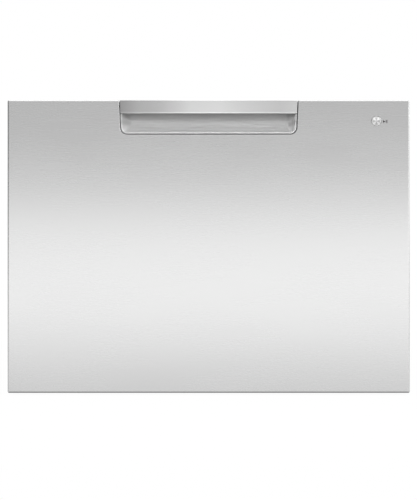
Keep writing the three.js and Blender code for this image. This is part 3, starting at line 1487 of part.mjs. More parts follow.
// The floor: a mat of crossing wires in a hoop, with clips for the rods of the tines.
function basketFloor() {
  const endX = basketX(BASKET_FLOOR) + WALL_OUT;
  const endY = basketY(BASKET_FLOOR) + WALL_OUT;
  const lengthwise = LENGTHWISE_X.map((x) =>
    wire([[x, BASKET_Y - endY, BASKET_FLOOR], [x, BASKET_Y + endY, BASKET_FLOOR]]),
  );
  const crosswise = CROSSWISE_Y.map((y) => wire([[-endX, y, UPPER_Z], [endX, y, UPPER_Z]]));
  const outline = roundedOutline(basketX(FLOOR_HOOP_Z), basketY(FLOOR_HOOP_Z), BASKET_CORNER_R, 2);
  const hoop = wire(outline.map(([x, y]) => [x, BASKET_Y + y, FLOOR_HOOP_Z]), WIRE_R, 4, true);
  const clips = CLIPS.flatMap((i) => [TINE_X, -TINE_X].map((x) => tineClip(x, gridY(i))));
  return join(hoop, lengthwise, crosswise, clips);
}

// Short tines on a bar that lies along the middle of the floor's wires.
function tineComb() {
  const z = UPPER_Z + 2 * WIRE_HALF + SEAT;
  const bar = wire([[0, gridY(0.6), z], [0, gridY(TINES - 1.6), z]]);
  const tines = Array.from({ length: TINES - 2 }, (_, i) =>
    rod("z", 0.8 * WIRE_R, z - 0.5, UPPER_Z + SHORT_TINE, [0, gridY(i + 1)], 4),
  );
  return join(bar, tines);
}

// The front wall at side -1 and the rear one at 1: level wires with uprights outside them. Two
// of its wires run down past the floor as the basket's feet.
function basketEnd(side) {
  const place = (z, out = 0) => BASKET_Y + side * (basketY(z) + out);
  const levels = WALL_LEVELS.map((z) => {
    const half = bendEnd(z) - SEAT;
    return wire([[-half, place(z), z], [half, place(z), z]]);
  });
  const low = FLOOR_HOOP_Z + WIRE_HALF + SEAT;
  const uprights = LENGTHWISE_X.map((x) =>
    wire([[x, place(low, WALL_OUT), low], [x, place(BASKET_RIM, WALL_OUT), BASKET_RIM]]),
  );
  const footX = LAST_WIRE_X - (LENGTHWISE_X[1] - LENGTHWISE_X[0]) / 2;
  const footY = place(FLOOR_HOOP_Z, 2 * WIRE_HALF + SEAT);
  const feet = [footX, -footX].map((x) =>
    wire([[x, footY, TUB_FLOOR + SEAT], [x, footY, WALL_LEVELS[0] + WIRE_R]]),
  );
  return join(levels, uprights, feet);
}

// The right wall, whose level wires bend round to meet those of the front and rear walls.
function basketSide() {
  const arc = [0, 30, 60, 90].map(THREE.MathUtils.degToRad);
  const r = BASKET_CORNER_R;
  const levels = WALL_LEVELS.map((z) => {
    const corner = (a) => [basketX(z) - r + r * Math.sin(a), basketY(z) - r + r * Math.cos(a)];
    const bend = [[bendEnd(z), basketY(z)], ...arc.map(corner)];
    const front = bend.map(([x, y]) => [x, BASKET_Y - y, z]);
    const rear = bend.map(([x, y]) => [x, BASKET_Y + y, z]);
    return wire([...front, ...rear.reverse()]);
  });
  const low = UPPER_Z + WIRE_HALF + SEAT;
  const uprights = CROSSWISE_Y.map((y) =>
    wire([[basketX(low) + WALL_OUT, y, low], [basketX(BASKET_RIM) + WALL_OUT, y, BASKET_RIM]]),
  );
  const shelfClips = CLIPS.map((i) => shelfClip(gridY(i)));
  return join(levels, uprights, shelfClips);
}

// A row of tines on a rod, which folds down sideways; first and last count along the grid.
function tineRow(x, first, last) {
  const bar = wire(
    [[x, gridY(first) - TINE_OVERHANG, TINE_ROD_Z], [x, gridY(last) + TINE_OVERHANG, TINE_ROD_Z]],
    WIRE_R,
    6,
  );
  const top = TINE_ROD_Z + TINE_HEIGHT;
  const tines = Array.from({ length: last - first + 1 }, (_, i) =>
    rod("z", 0.8 * WIRE_R, TINE_ROD_Z - 0.6, top, [x, gridY(first + i)], 4, 0.7 * WIRE_R),
  );
  return join(bar, tines);
}

// A wire shelf for cups, hinged at the basket's side; drawn for the +X side.
function cupShelf() {
  const inner = SHELF_HINGE_X - SHELF_DEPTH;
  const corners = [
    [SHELF_HINGE_X, gridY(0.5), SHELF_Z],
    [inner, gridY(0.5), SHELF_Z],
    [inner, gridY(TINES - 1.5), SHELF_Z],
    [SHELF_HINGE_X, gridY(TINES - 1.5), SHELF_Z],
  ];
  const frame = wire(corners, WIRE_R, 6, true);
  const bars = Array.from({ length: TINES - 2 }, (_, i) => {
    const y = gridY(i + 1);
    return wire([[inner, y, SHELF_Z + 0.7], [SHELF_HINGE_X, y, SHELF_Z + 0.7]], 0.8 * WIRE_R);
  });
  return join(frame, bars);
}

// A box with four cells. It stands in front of the right row of tines.
const CUTLERY_Y = gridY(2) - TINE_OVERHANG - 12 - CUTLERY_DEPTH / 2;

function cutleryBasket() {
  const low = UPPER_Z + WIRE_HALF + SEAT;
  const ring = (inset, z) => {
    const outline = roundedOutline(CUTLERY_WIDTH / 2 - inset, CUTLERY_DEPTH / 2 - inset, 6, 2);
    return levelRing(outline, CUTLERY_X, CUTLERY_Y, z);
  };
  const shell = loft([
    ring(3, low),
    ring(0, low + CUTLERY_HEIGHT),
    ring(CUTLERY_WALL, low + CUTLERY_HEIGHT),
    ring(3 + CUTLERY_WALL, low + CUTLERY_WALL),
  ]);
  const top = low + CUTLERY_HEIGHT - 6;
  const halfX = CUTLERY_WIDTH / 2 - 2;
  const halfY = CUTLERY_DEPTH / 2 - 2;
  const upright = (halfU, halfV, z0, z1) =>
    box(CUTLERY_X - halfU, CUTLERY_X + halfU, CUTLERY_Y - halfV, CUTLERY_Y + halfV, z0, z1);
  const long = upright(halfX, 0.9, low + 1, top - 1);
  const short = upright(0.9, halfY, low + 0.8, top - 5);
  const inside = loft([ring(3 + 0.5, low), ring(0.5, low + CUTLERY_HEIGHT)]);
  return join(shell, join(long, short).intersect(inside));
}

// ---------- Fittings behind the back panel ----------

// A tube through the back panel: the service hose meets it inside, the house drain outside.
function drainSpigot() {
  const inner = BACK_Y - SHEET - SPIGOT_INSIDE;
  const outer = REAR_Y - 1;
  const flange = BACK_Y + SEAT;
  return turnedAlongY(
    [
      [SPIGOT_BORE, inner],
      [SPIGOT_R, inner],
      [SPIGOT_R, flange],
      [SPIGOT_R + 10, flange],
      [SPIGOT_R + 10, flange + 3],
      [SPIGOT_R, flange + 3],
      [SPIGOT_R, outer - 4],
      [SPIGOT_R + 1.2, outer - 2],
      [SPIGOT_R, outer],
      [SPIGOT_BORE, outer],
    ],
    SPIGOT_X,
    SPIGOT_Z,
    16,
  );
}

function inletValve() {
  const front = BACK_Y + SEAT;
  const body = box(VALVE_X - 22, VALVE_X + 22, front, front + 14, VALVE_Z - 17, VALVE_Z + 17);
  const coil = box(VALVE_X - 14, VALVE_X + 14, front + 1, front + 22, VALVE_Z + 16, VALVE_Z + 44);
  const inlet = rod("y", VALVE_THREAD_R, front + 13, REAR_Y - 1, [VALVE_X, VALVE_Z], 24);
  const mouth = rod("y", VALVE_THREAD_R - 3, front + 15, REAR_Y + 1, [VALVE_X, VALVE_Z], 16);
  const outlet = rod("y", VALVE_THREAD_R - 4, BACK_Y - SHEET - 8, front + 2, [VALVE_X, VALVE_Z], 16);
  return cut(join(body, coil, inlet, outlet), mouth);
}

function terminalBox() {
  const front = BACK_Y + SEAT;
  const back = REAR_Y - 4;
  const ring = (inset, y) => {
    const outline = roundedOutline(TERMINAL_WIDTH / 2 - inset, TERMINAL_HEIGHT / 2 - inset, 5, 2);
    return uprightRing(outline, y, TERMINAL_Z).map((p) => p.setX(p.x + TERMINAL_X));
  };
  const shell = loft([ring(0, front), ring(0, back - 2), ring(2, back)]);
  const side = TERMINAL_X - TERMINAL_WIDTH / 2;
  const glandAt = [(front + back) / 2, TERMINAL_Z - 12];
  const gland = rod("x", GLAND_R, side - GLAND_REACH, TERMINAL_X, glandAt, 16);
  const glandBore = rod("x", GLAND_R - 4, side - GLAND_REACH - 1, side + 8, glandAt, 12);
  return cut(join(shell, gland), glandBore);
}

// ---------- The machine ----------

const machine = new Assembly();

const chassis = new Assembly(machine);
chassis.pair("chassis_side", chassisSide(), MATERIALS.galvanised);
chassis.piece("chassis_top", chassisTop(), MATERIALS.galvanised);
chassis.piece("chassis_back", chassisBack(), MATERIALS.galvanised);
chassis.piece("base_pan", basePan(), MATERIALS.pan);
const footX = CHASSIS_WIDTH / 2 - FOOT_INSET_X;
chassis.pair("rubber_foot_front", rubberFoot(footX, FRONT_Y + FOOT_INSET_Y), MATERIALS.rubber);
chassis.pair("rubber_foot_rear", rubberFoot(footX, REAR_Y - FOOT_INSET_Y), MATERIALS.rubber);
chassis.pair("runner_outer", runnerOuter(), MATERIALS.runnerSteel);
chassis.pair("lid_motor", lidMotor(), MATERIALS.dark);
chassis.piece("service_hose", serviceHose(), MATERIALS.rubber);

const fittings = new Assembly(chassis, 0, BACK_Y, 0);
fittings.piece("drain_spigot", drainSpigot(), MATERIALS.dark);
fittings.piece("inlet_valve", inletValve(), MATERIALS.tub);
fittings.piece("terminal_box", terminalBox(), MATERIALS.dark);

const runnerMiddles = new Assembly(machine, 0, RUNNER_FRONT, RUNNER_Z);
runnerMiddles.pair("runner_middle", runnerMiddle(), MATERIALS.runnerSteel);

const drawer = new Assembly(machine, 0, RUNNER_FRONT, RUNNER_Z);
drawer.pair("runner_inner", runnerInner(), MATERIALS.runnerSteel);
drawer.pair("cradle_rail", cradleRail(), MATERIALS.galvanised);

const front = new Assembly(drawer, 0, FRONT_Y, FLOOR_GAP);
front.piece("front_skin", frontSkin(), MATERIALS.brushed);
front.piece("handle_lip", handleLip(), MATERIALS.lipSteel);
front.piece("handle_pocket", handlePocket(), MATERIALS.pocket);
front.piece("front_liner", frontLiner(), MATERIALS.liner);
front.piece("front_seal", frontSeal(), MATERIALS.rubber);

const startControl = new Assembly(front, BUTTON_X, FRONT_Y, BUTTON_Z);
startControl.piece("start_button", startButton(), MATERIALS.spunSteel);
startControl.piece("button_spring", buttonSpring(), MATERIALS.springSteel);
startControl.piece("control_module", join(buttonHousing(), controlBoard()), MATERIALS.board);

const wash = new Assembly(drawer, 0, TUB_Y, TUB_FLOOR);
wash.piece("tub", tub(), MATERIALS.tub);
wash.piece("tub_seal", tubSeal(), MATERIALS.rubber);
wash.piece("heating_element", heatingElement(), MATERIALS.springSteel);
wash.piece("pump_cover", pumpCover(), MATERIALS.dark);
wash.piece("filter_plate", filterPlate(), MATERIALS.brushed);
wash.piece("wash_rotor", join(motorRotor(), washImpeller()), MATERIALS.dark);
wash.piece("motor_housing", motorHousing(), MATERIALS.dark);
wash.piece("motor_stator", motorStator(), MATERIALS.springSteel);

const sprayArmHub = new Assembly(wash, 0, TUB_Y, ARM_LOW);
sprayArmHub.piece("spray_arm", sprayArm(), MATERIALS.dark);

const drain = new Assembly(wash, 0, WELL_Y, WELL_BOTTOM);
drain.piece("filter_cup", filterCup(), MATERIALS.dark);
drain.piece("drain_pump", drainPump(), MATERIALS.dark);
drain.piece("drain_hose", drainHose(), MATERIALS.rubber);

const dispenser = new Assembly(drawer, DISPENSER_X, DISPENSER_FACE, DISPENSER_Z);
dispenser.piece("dispenser_body", dispenserBody(), MATERIALS.tub);
dispenser.piece("dispenser_cover", dispenserCover(), MATERIALS.dark);
dispenser.piece("rinse_cap", rinseCap(), MATERIALS.blue);

const dishes = new Assembly(drawer, 0, BASKET_Y, BASKET_FLOOR);
dishes.piece("basket_floor", basketFloor(), MATERIALS.wire);
dishes.piece("tine_comb", tineComb(), MATERIALS.wire);
dishes.piece("basket_front", basketEnd(-1), MATERIALS.wire);
dishes.piece("basket_rear", basketEnd(1), MATERIALS.wire);
dishes.pair("basket_side", basketSide(), MATERIALS.wire);
dishes.piece("cutlery_basket", cutleryBasket(), MATERIALS.dark);
const leftTines = new Assembly(dishes, -TINE_X, BASKET_Y, TINE_ROD_Z);
leftTines.piece("tine_row_left", tineRow(-TINE_X, 0, TINES - 1), MATERIALS.wire);
const rightTines = new Assembly(dishes, TINE_X, BASKET_Y, TINE_ROD_Z);
rightTines.piece("tine_row_right", tineRow(TINE_X, 2, TINES - 1), MATERIALS.wire);
const shelves = new Assembly(dishes, 0, BASKET_Y, SHELF_Z);
shelves.pair("cup_shelf", cupShelf(), MATERIALS.wire);

const lid = new Assembly(machine, 0, PINION_Y, LID_LOW);
const rack = lidRack();
lid.piece("lid_panel", join(lidPanel(), rack, rack.mirror([1, 0, 0])), MATERIALS.lid);
const pinions = new Assembly(machine, 0, PINION_Y, PINION_Z);
pinions.pair("lid_pinion", lidPinion(), MATERIALS.gear);

export default machine;
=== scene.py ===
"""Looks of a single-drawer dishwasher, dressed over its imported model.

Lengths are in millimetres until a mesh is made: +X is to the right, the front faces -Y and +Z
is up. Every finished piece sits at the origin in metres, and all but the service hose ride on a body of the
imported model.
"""

import json
import logging
import math
from collections.abc import Iterable, Sequence
from dataclasses import dataclass, field
from enum import Enum

import bmesh
import bpy
from bpy.types import Material, Mesh, Node, NodeSocket, NodeTree, Object
from mathutils import Matrix, Vector


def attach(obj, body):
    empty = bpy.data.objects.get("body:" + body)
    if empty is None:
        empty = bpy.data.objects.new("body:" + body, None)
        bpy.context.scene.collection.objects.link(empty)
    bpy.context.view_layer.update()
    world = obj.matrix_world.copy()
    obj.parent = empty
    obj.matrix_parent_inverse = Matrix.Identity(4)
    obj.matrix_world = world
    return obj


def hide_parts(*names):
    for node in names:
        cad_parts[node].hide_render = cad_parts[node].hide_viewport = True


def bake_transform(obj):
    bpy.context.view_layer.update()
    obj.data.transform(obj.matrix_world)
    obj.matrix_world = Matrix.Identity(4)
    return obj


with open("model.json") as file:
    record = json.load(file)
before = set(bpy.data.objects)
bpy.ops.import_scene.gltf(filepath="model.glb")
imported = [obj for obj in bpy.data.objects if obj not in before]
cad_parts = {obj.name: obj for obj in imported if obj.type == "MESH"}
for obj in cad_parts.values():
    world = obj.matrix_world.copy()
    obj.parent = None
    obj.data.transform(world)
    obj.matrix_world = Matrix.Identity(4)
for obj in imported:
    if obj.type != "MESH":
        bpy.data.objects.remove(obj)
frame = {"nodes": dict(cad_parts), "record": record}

LOG = logging.getLogger("dishwasher_drawer")
MM = 0.001  # metres in a millimetre

BODY_OF = {node: body for body, nodes in frame["record"]["behaviour"]["bodies"].items() for node in nodes}

Loop = list[tuple[float, float]]
Path = list[tuple[float, float, float]]
Wire = tuple[Path, bool]  # corner points, and whether they close a loop
Step = tuple[int, Sequence[float]]  # copies, and the way from one to the next
Size = tuple[float, float, float]
Ramp = tuple[float, float, float, float]  # from and to, and the values there
Inputs = dict[str | int, object]


class Axis(Enum):
    """The direction that a shape is turned about or carried along."""

    X = "x"
    Y = "y"
    Z = "z"

    def place(self, u: float, v: float, along: float) -> tuple[float, float, float]:
        """Gives the point at (u, v) across this axis and at a distance along it."""
        return {Axis.X: (along, u, v), Axis.Y: (u, along, v), Axis.Z: (u, v, along)}[self]


class Hand(Enum):
    """The side of the machine that a piece is on; the value is its sign along X."""

    RIGHT = 1
    LEFT = -1

    def node(self, name: str) -> str:
        """Gives the name of the node of this hand."""
        return f"{name}_{self.name.lower()}"


# ---------- Shapes ----------


def spread(first: float, last: float, count: int) -> list[float]:
    """Gives evenly spaced places from first to last."""
    return [first + (last - first) * i / (count - 1) for i in range(count)]


def arc(u: float, v: float, radius: float, start: float, end: float, steps: int = 6) -> Loop:
    """Gives points on an arc.

    Args:
        u, v: The centre.
        radius: The arc's radius.
        start, end: The first and last angles in degrees.
        steps: The number of straight runs.

    Returns:
        The points from start to end.
    """
    angles = [math.radians(a) for a in spread(start, end, steps + 1)]
    return [(u + radius * math.cos(a), v + radius * math.sin(a)) for a in angles]


def rounded(half_u: float, half_v: float, radius: float, steps: int = 8) -> Loop:
    """Gives a rectangle with round corners about the origin.

    Args:
        half_u, half_v: Half its sides.
        radius: The radius of its corners.
        steps: The number of straight runs in a corner.

    Returns:
        The outline's points.
    """
    u, v = half_u - radius, half_v - radius
    corners = [(u, v, 0), (-u, v, 90), (-u, -v, 180), (u, -v, 270)]
    return [p for cu, cv, start in corners for p in arc(cu, cv, radius, start, start + 90, steps)]


def curve_through(points: Path, steps: int = 10) -> Path:
    """Runs a smooth centripetal curve through points.

    Args:
        points: The points that it passes.
        steps: The number of runs between two of them.

    Returns:
        The points of the curve.
    """
    knots = [Vector(p) for p in points]
    knots = [2 * knots[0] - knots[1], *knots, 2 * knots[-1] - knots[-2]]
    path = [tuple(knots[1])]
    for p0, p1, p2, p3 in zip(knots, knots[1:], knots[2:], knots[3:]):
        t1 = (p1 - p0).length ** 0.5
        t2 = t1 + (p2 - p1).length ** 0.5
        t3 = t2 + (p3 - p2).length ** 0.5
        for t in spread(t1, t2, steps + 1)[1:]:
            a1 = p0.lerp(p1, t / t1)
            a2 = p1.lerp(p2, (t - t1) / (t2 - t1))
            a3 = p2.lerp(p3, (t - t2) / (t3 - t2))
            b1 = a1.lerp(a2, t / t2)
            b2 = a2.lerp(a3, (t - t1) / (t3 - t1))
            path.append(tuple(b1.lerp(b2, (t - t1) / (t2 - t1))))
    return path


class Form:
    """Points and faces in millimetres that become one mesh."""

    def __init__(self) -> None:
        """Starts with nothing."""
        self.points: Path = []
        self.faces: list[list[int]] = []

    def row(self, points: Iterable[tuple[float, float, float]]) -> list[int]:
        """Adds points and gives their numbers.

        Args:
            points: The points, in millimetres.

        Returns:
            Their numbers in this form.
        """
        start = len(self.points)
        self.points.extend(points)
        return list(range(start, len(self.points)))

    def skin(self, rings: Sequence[Path], closed: bool = False) -> "Form":
        """Joins rings of as many points each into a closed skin.

        Args:
            rings: The rings in order.
            closed: Whether the last ring joins the first; otherwise both ends get a face.

        Returns:
            This form.
        """
        rows = [self.row(ring) for ring in rings]
        if not closed:
            self.faces += [rows[0][::-1], rows[-1]]
        for a, b in zip(rows, rows[1:] + rows[:1] if closed else rows[1:]):
            for i, corner in enumerate(a):
                j = (i + 1) % len(a)
                self.faces.append([corner, a[j], b[j], b[i]])
        return self

    def lathe(self, axis: Axis, profile: Loop, at: tuple[float, float] = (0, 0), sides: int = 64) -> "Form":
        """Turns a closed profile about an axis.

        Args:
            axis: The axis.
            profile: Pairs of radius and height along the axis.
            at: Where the axis stands, across itself.
            sides: The number of sides.

        Returns:
            This form.
        """
        rings = []
        for i in range(sides):
            c, s = math.cos(2 * math.pi * i / sides), math.sin(2 * math.pi * i / sides)
            rings.append([axis.place(at[0] + r * c, at[1] + r * s, h) for r, h in profile])
        return self.skin(rings, closed=True)

    def prism(self, axis: Axis, outline: Loop, start: float, end: float) -> "Form":
        """Carries an outline straight along an axis from start to end."""
        return self.skin([[axis.place(u, v, w) for u, v in outline] for w in (start, end)])

    def block(self, low: Sequence[float], high: Sequence[float]) -> "Form":
        """Adds a box between two corners."""
        (x0, y0, z0), (x1, y1, z1) = low, high
        return self.prism(Axis.Z, [(x0, y0), (x1, y0), (x1, y1), (x0, y1)], z0, z1)

    def mesh_object(self, name: str, scale: float = MM) -> Object:
        """Makes the mesh, with doubles merged and faces turned outwards.

        Args:
            name: The object's name.
            scale: What a length is multiplied by.

        Returns:
            The object, in the scene.
        """
        mesh = bpy.data.meshes.new(name)
        mesh.from_pydata([Vector(p) * scale for p in self.points], [], self.faces)
        work = bmesh.new()
        work.from_mesh(mesh)
        bmesh.ops.remove_doubles(work, verts=work.verts, dist=1e-3 * scale)
        bmesh.ops.dissolve_degenerate(work, edges=work.edges, dist=1e-4 * scale)
        bmesh.ops.recalc_face_normals(work, faces=work.faces)
        work.to_mesh(mesh)
        work.free()
        return in_scene(name, mesh)


def in_scene(name: str, mesh: Mesh) -> Object:
    """Puts a mesh in the scene as an object at the origin.

    Args:
        name: The object's name.
        mesh: Its mesh.

    Returns:
        The object.
    """
    made = bpy.data.objects.new(name, mesh)
    bpy.context.scene.collection.objects.link(made)
    return made


def freeze(piece: Object) -> Object:
    """Turns a piece with modifiers into the plain mesh that they give.

    Args:
        piece: The piece.

    Returns:
        The same piece, without modifiers.
    """
    graph = bpy.context.evaluated_depsgraph_get()
    mesh = bpy.data.meshes.new_from_object(piece.evaluated_get(graph))
    piece.modifiers.clear()
    piece.data = mesh
    return piece


def shade(piece: Object, angle: float = 38.0) -> Object:
    """Shades a piece smooth up to an angle in degrees between its faces.

    Args:
        piece: The piece.
        angle: The angle above which an edge stays sharp.

    Returns:
        The same piece.
    """
    piece.data.shade_smooth()
    piece.data.set_sharp_from_angle(angle=math.radians(angle))
    return piece


def soften(piece: Object, width: float, segments: int = 2, angle: float = 38.0) -> Object:
    """Rounds the sharp edges of a piece.

    Args:
        piece: The piece.
        width: The width of the rounding.
        segments: The number of faces across it.
        angle: How sharp an edge has to be, in degrees.

    Returns:
        The piece, as a plain mesh.
    """
    bevel = piece.modifiers.new("Rounding", "BEVEL")
    bevel.width = width * MM
    bevel.segments = segments
    bevel.limit_method = "ANGLE"
    bevel.angle_limit = math.radians(angle)
    bevel.use_clamp_overlap = True
    bevel.miter_outer = "MITER_ARC"
    weights = piece.modifiers.new("Flat faces", "WEIGHTED_NORMAL")
    weights.keep_sharp = True
    shade(piece, 60)
    return freeze(piece)


def carve(piece: Object, tool: Form, joined: bool = False) -> Object:
    """Cuts a form out of a piece, or joins it on.

    Args:
        piece: The piece.
        tool: What is cut out or joined on.
        joined: Whether it is joined on.

    Returns:
        The piece, as a plain mesh.
    """
    cutter = tool.mesh_object("cutter")
    boolean = piece.modifiers.new("Carving", "BOOLEAN")
    boolean.operation = "UNION" if joined else "DIFFERENCE"
    boolean.solver = "EXACT"
    boolean.object = cutter
    freeze(piece)
    bpy.data.objects.remove(cutter)
    return piece


def formed(node: str, name: str, width: float = 0.4, segments: int = 2) -> Object:
    """Makes a finer copy of a node: its triangles merged into faces and its edges rounded.

    Args:
        node: The node.
        name: The new piece's name.
        width: The width of the rounding.
        segments: The number of faces across it.

    Returns:
        The piece.
    """
    mesh = frame["nodes"][node].data.copy()
    mesh.materials.clear()
    work = bmesh.new()
    work.from_mesh(mesh)
    bmesh.ops.remove_doubles(work, verts=work.verts, dist=5e-6)
    bmesh.ops.dissolve_limit(work, angle_limit=math.radians(0.6), verts=work.verts, edges=work.edges)
    work.to_mesh(mesh)
    work.free()
    return soften(in_scene(name, mesh), width, segments)


# ---------- Patterns ----------


def add_node(tree: NodeTree, kind: str, inputs: Inputs | None = None, **settings: object) -> Node:
    """Adds a node with its settings and inputs.

    Args:
        tree: The tree.
        kind: The node's type.
        inputs: Values by input name or number; a socket is linked, a node stands for its first
            output, and anything else is set.
        settings: The node's own settings.

    Returns:
        The node.
    """
    made = tree.nodes.new(kind)
    for name, value in settings.items():
        setattr(made, name, value)
    for key, value in (inputs or {}).items():
        if isinstance(value, Node):
            value = value.outputs[0]
        if isinstance(value, NodeSocket):
            tree.links.new(value, made.inputs[key])
        else:
            made.inputs[key].default_value = value
    return made


class Pattern:
    """A Geometry Nodes tree in millimetres with named inputs, whose result becomes a plain mesh."""

    SOCKETS = {float: "NodeSocketFloat", int: "NodeSocketInt", Vector: "NodeSocketVector"}

    def __init__(self, name: str, values: dict[str, object]) -> None:
        """Opens a tree.

        Args:
            name: The tree's name.
            values: The value of each named input: a number, a Vector or an object.
        """
        self.values = values
        self.tree = bpy.data.node_groups.new(name, "GeometryNodeTree")
        face = self.tree.interface
        face.new_socket("Geometry", in_out="INPUT", socket_type="NodeSocketGeometry")
        face.new_socket("Geometry", in_out="OUTPUT", socket_type="NodeSocketGeometry")
        for label, value in values.items():
            kind = self.SOCKETS.get(type(value), "NodeSocketObject")
            face.new_socket(label, in_out="INPUT", socket_type=kind)
        self.given = add_node(self.tree, "NodeGroupInput").outputs

    def add(self, kind: str, inputs: Inputs | None = None, **settings: object) -> Node:
        """Adds a node to the tree, as add_node does."""
        return add_node(self.tree, kind, inputs, **settings)

    def make(self, name: str, geometry: Node, finish: "Finish", source: Mesh | None = None) -> Object:
        """Ends the tree, runs it once and keeps what it gives.

        Args:
            name: The new piece's name.
            geometry: The node that gives the finished geometry.
            finish: The finish of its faces.
            source: The mesh that the tree starts from.

        Returns:
            The piece, in metres.
        """
        real = self.add("GeometryNodeRealizeInstances", {"Geometry": geometry})
        scaled = self.add("GeometryNodeTransform", {"Geometry": real, "Scale": (MM, MM, MM)})
        smooth = self.add("GeometryNodeSetShadeSmooth", {"Geometry": scaled})
        dressed = self.add("GeometryNodeSetMaterial", {"Geometry": smooth, "Material": finish.material()})
        self.add("NodeGroupOutput", {0: dressed})
        piece = in_scene(name, source or bpy.data.meshes.new(name))
        modifier = piece.modifiers.new(self.tree.name, "NODES")
        modifier.node_group = self.tree
        for item in self.tree.interface.items_tree:
            if item.in_out == "INPUT" and item.name in self.values:
                modifier[item.identifier] = self.values[item.name]
        return shade(freeze(piece), 50)


def strands(
    name: str, paths: Sequence[Wire], radius: float, bend: float, finish: "Finish", *nodes: str,
    body: str = "",
) -> None:
    """Draws round wires along paths, with bends at their corners, and fits them.

    Args:
        name: The piece's name.
        paths: Each wire's corner points, and whether it is a closed loop.
        radius: The wire's radius.
        bend: The radius of its bends.
        finish: Its finish.
        nodes, body: What fit takes.
    """
    points: Path = []
    edges: list[tuple[int, int]] = []
    for path, looped in paths:
        start = len(points)
        points += path
        edges += [(i, i + 1) for i in range(start, len(points) - 1)]
        if looped:
            edges.append((len(points) - 1, start))
    source = bpy.data.meshes.new(name)
    source.from_pydata(points, edges, [])
    pattern = Pattern("Bent wires", {"Wire radius": float(radius), "Bend radius": float(bend)})
    runs = pattern.add("GeometryNodeMeshToCurve", {"Mesh": pattern.given["Geometry"]})
    bent = pattern.add(
        "GeometryNodeFilletCurve",
        {"Curve": runs, "Count": 5, "Radius": pattern.given["Bend radius"], "Limit Radius": True},
        mode="POLY",
    )
    circle = {"Resolution": 12, "Radius": pattern.given["Wire radius"]}
    section = pattern.add("GeometryNodeCurvePrimitiveCircle", circle, mode="RADIUS")
    drawn = pattern.add(
        "GeometryNodeCurveToMesh", {"Curve": bent, "Profile Curve": section, "Fill Caps": True}
    )
    fit(pattern.make(name, drawn, finish, source), finish, *nodes, body=body)


def lattice(
    name: str, shape: Object, start: Sequence[float], steps: Sequence[Step], finish: "Finish", *nodes: str,
    body: str = "",
) -> None:
    """Repeats a shape along one or two directions and fits the rows.

    Args:
        name: The piece's name.
        shape: The shape, in millimetres; it is used up.
        start: Where the first copy goes.
        steps: For each direction, the number of copies and the step between them.
        finish: The finish.
        nodes, body: What fit takes.
    """
    (columns, across), (rows, along) = [*steps, (1, (0, 0, 1))][:2]
    values = {
        "Shape": shape, "Start": Vector(start), "Columns": columns, "Across": Vector(across),
        "Rows": rows, "Along": Vector(along),
    }
    pattern = Pattern("Rows and columns", values)
    given = pattern.given
    line = {"Count": given["Columns"], "Start Location": given["Start"], "Offset": given["Across"]}
    row = pattern.add("GeometryNodeMeshLine", line)
    column = pattern.add("GeometryNodeMeshLine", {"Count": given["Rows"], "Offset": given["Along"]})
    places = pattern.add("GeometryNodeInstanceOnPoints", {"Points": row, "Instance": column})
    flat = pattern.add("GeometryNodeRealizeInstances", {"Geometry": places})
    single = pattern.add("GeometryNodeObjectInfo", {"Object": given["Shape"]})
    copies = pattern.add(
        "GeometryNodeInstanceOnPoints", {"Points": flat, "Instance": single.outputs["Geometry"]}
    )
    fit(pattern.make(name, copies, finish), finish, *nodes, body=body)
    bpy.data.objects.remove(shape)


def circle_of(
    name: str, shape: Object, count: int, centre: Sequence[float], finish: "Finish", *nodes: str,
    body: str = "",
) -> None:
    """Repeats a shape round a circle and fits it.

    Args:
        name: The piece's name.
        shape: The shape in millimetres, at its distance from the Z axis; it is used up.
        count: The number of copies.
        centre: The circle's centre.
        finish: The finish.
        nodes, body: What fit takes.
    """
    values = {"Shape": shape, "Count": count, "Centre": Vector(centre)}
    pattern = Pattern("Round a circle", values)
    given = pattern.given
    points = pattern.add("GeometryNodeMeshLine", {"Count": given["Count"], "Offset": (0, 0, 0)})
    number = pattern.add("GeometryNodeInputIndex")
    share = pattern.add("ShaderNodeMath", {0: number, 1: given["Count"]}, operation="DIVIDE")
    angle = pattern.add("ShaderNodeMath", {0: share, 1: 2 * math.pi}, operation="MULTIPLY")
    turn = pattern.add("ShaderNodeCombineXYZ", {"Z": angle})
    single = pattern.add("GeometryNodeObjectInfo", {"Object": given["Shape"]})
    copies = pattern.add(
        "GeometryNodeInstanceOnPoints",
        {"Points": points, "Instance": single.outputs["Geometry"], "Rotation": turn},
    )
    placed = pattern.add("GeometryNodeTransform", {"Geometry": copies, "Translation": given["Centre"]})
    fit(pattern.make(name, placed, finish), finish, *nodes, body=body)
    bpy.data.objects.remove(shape)


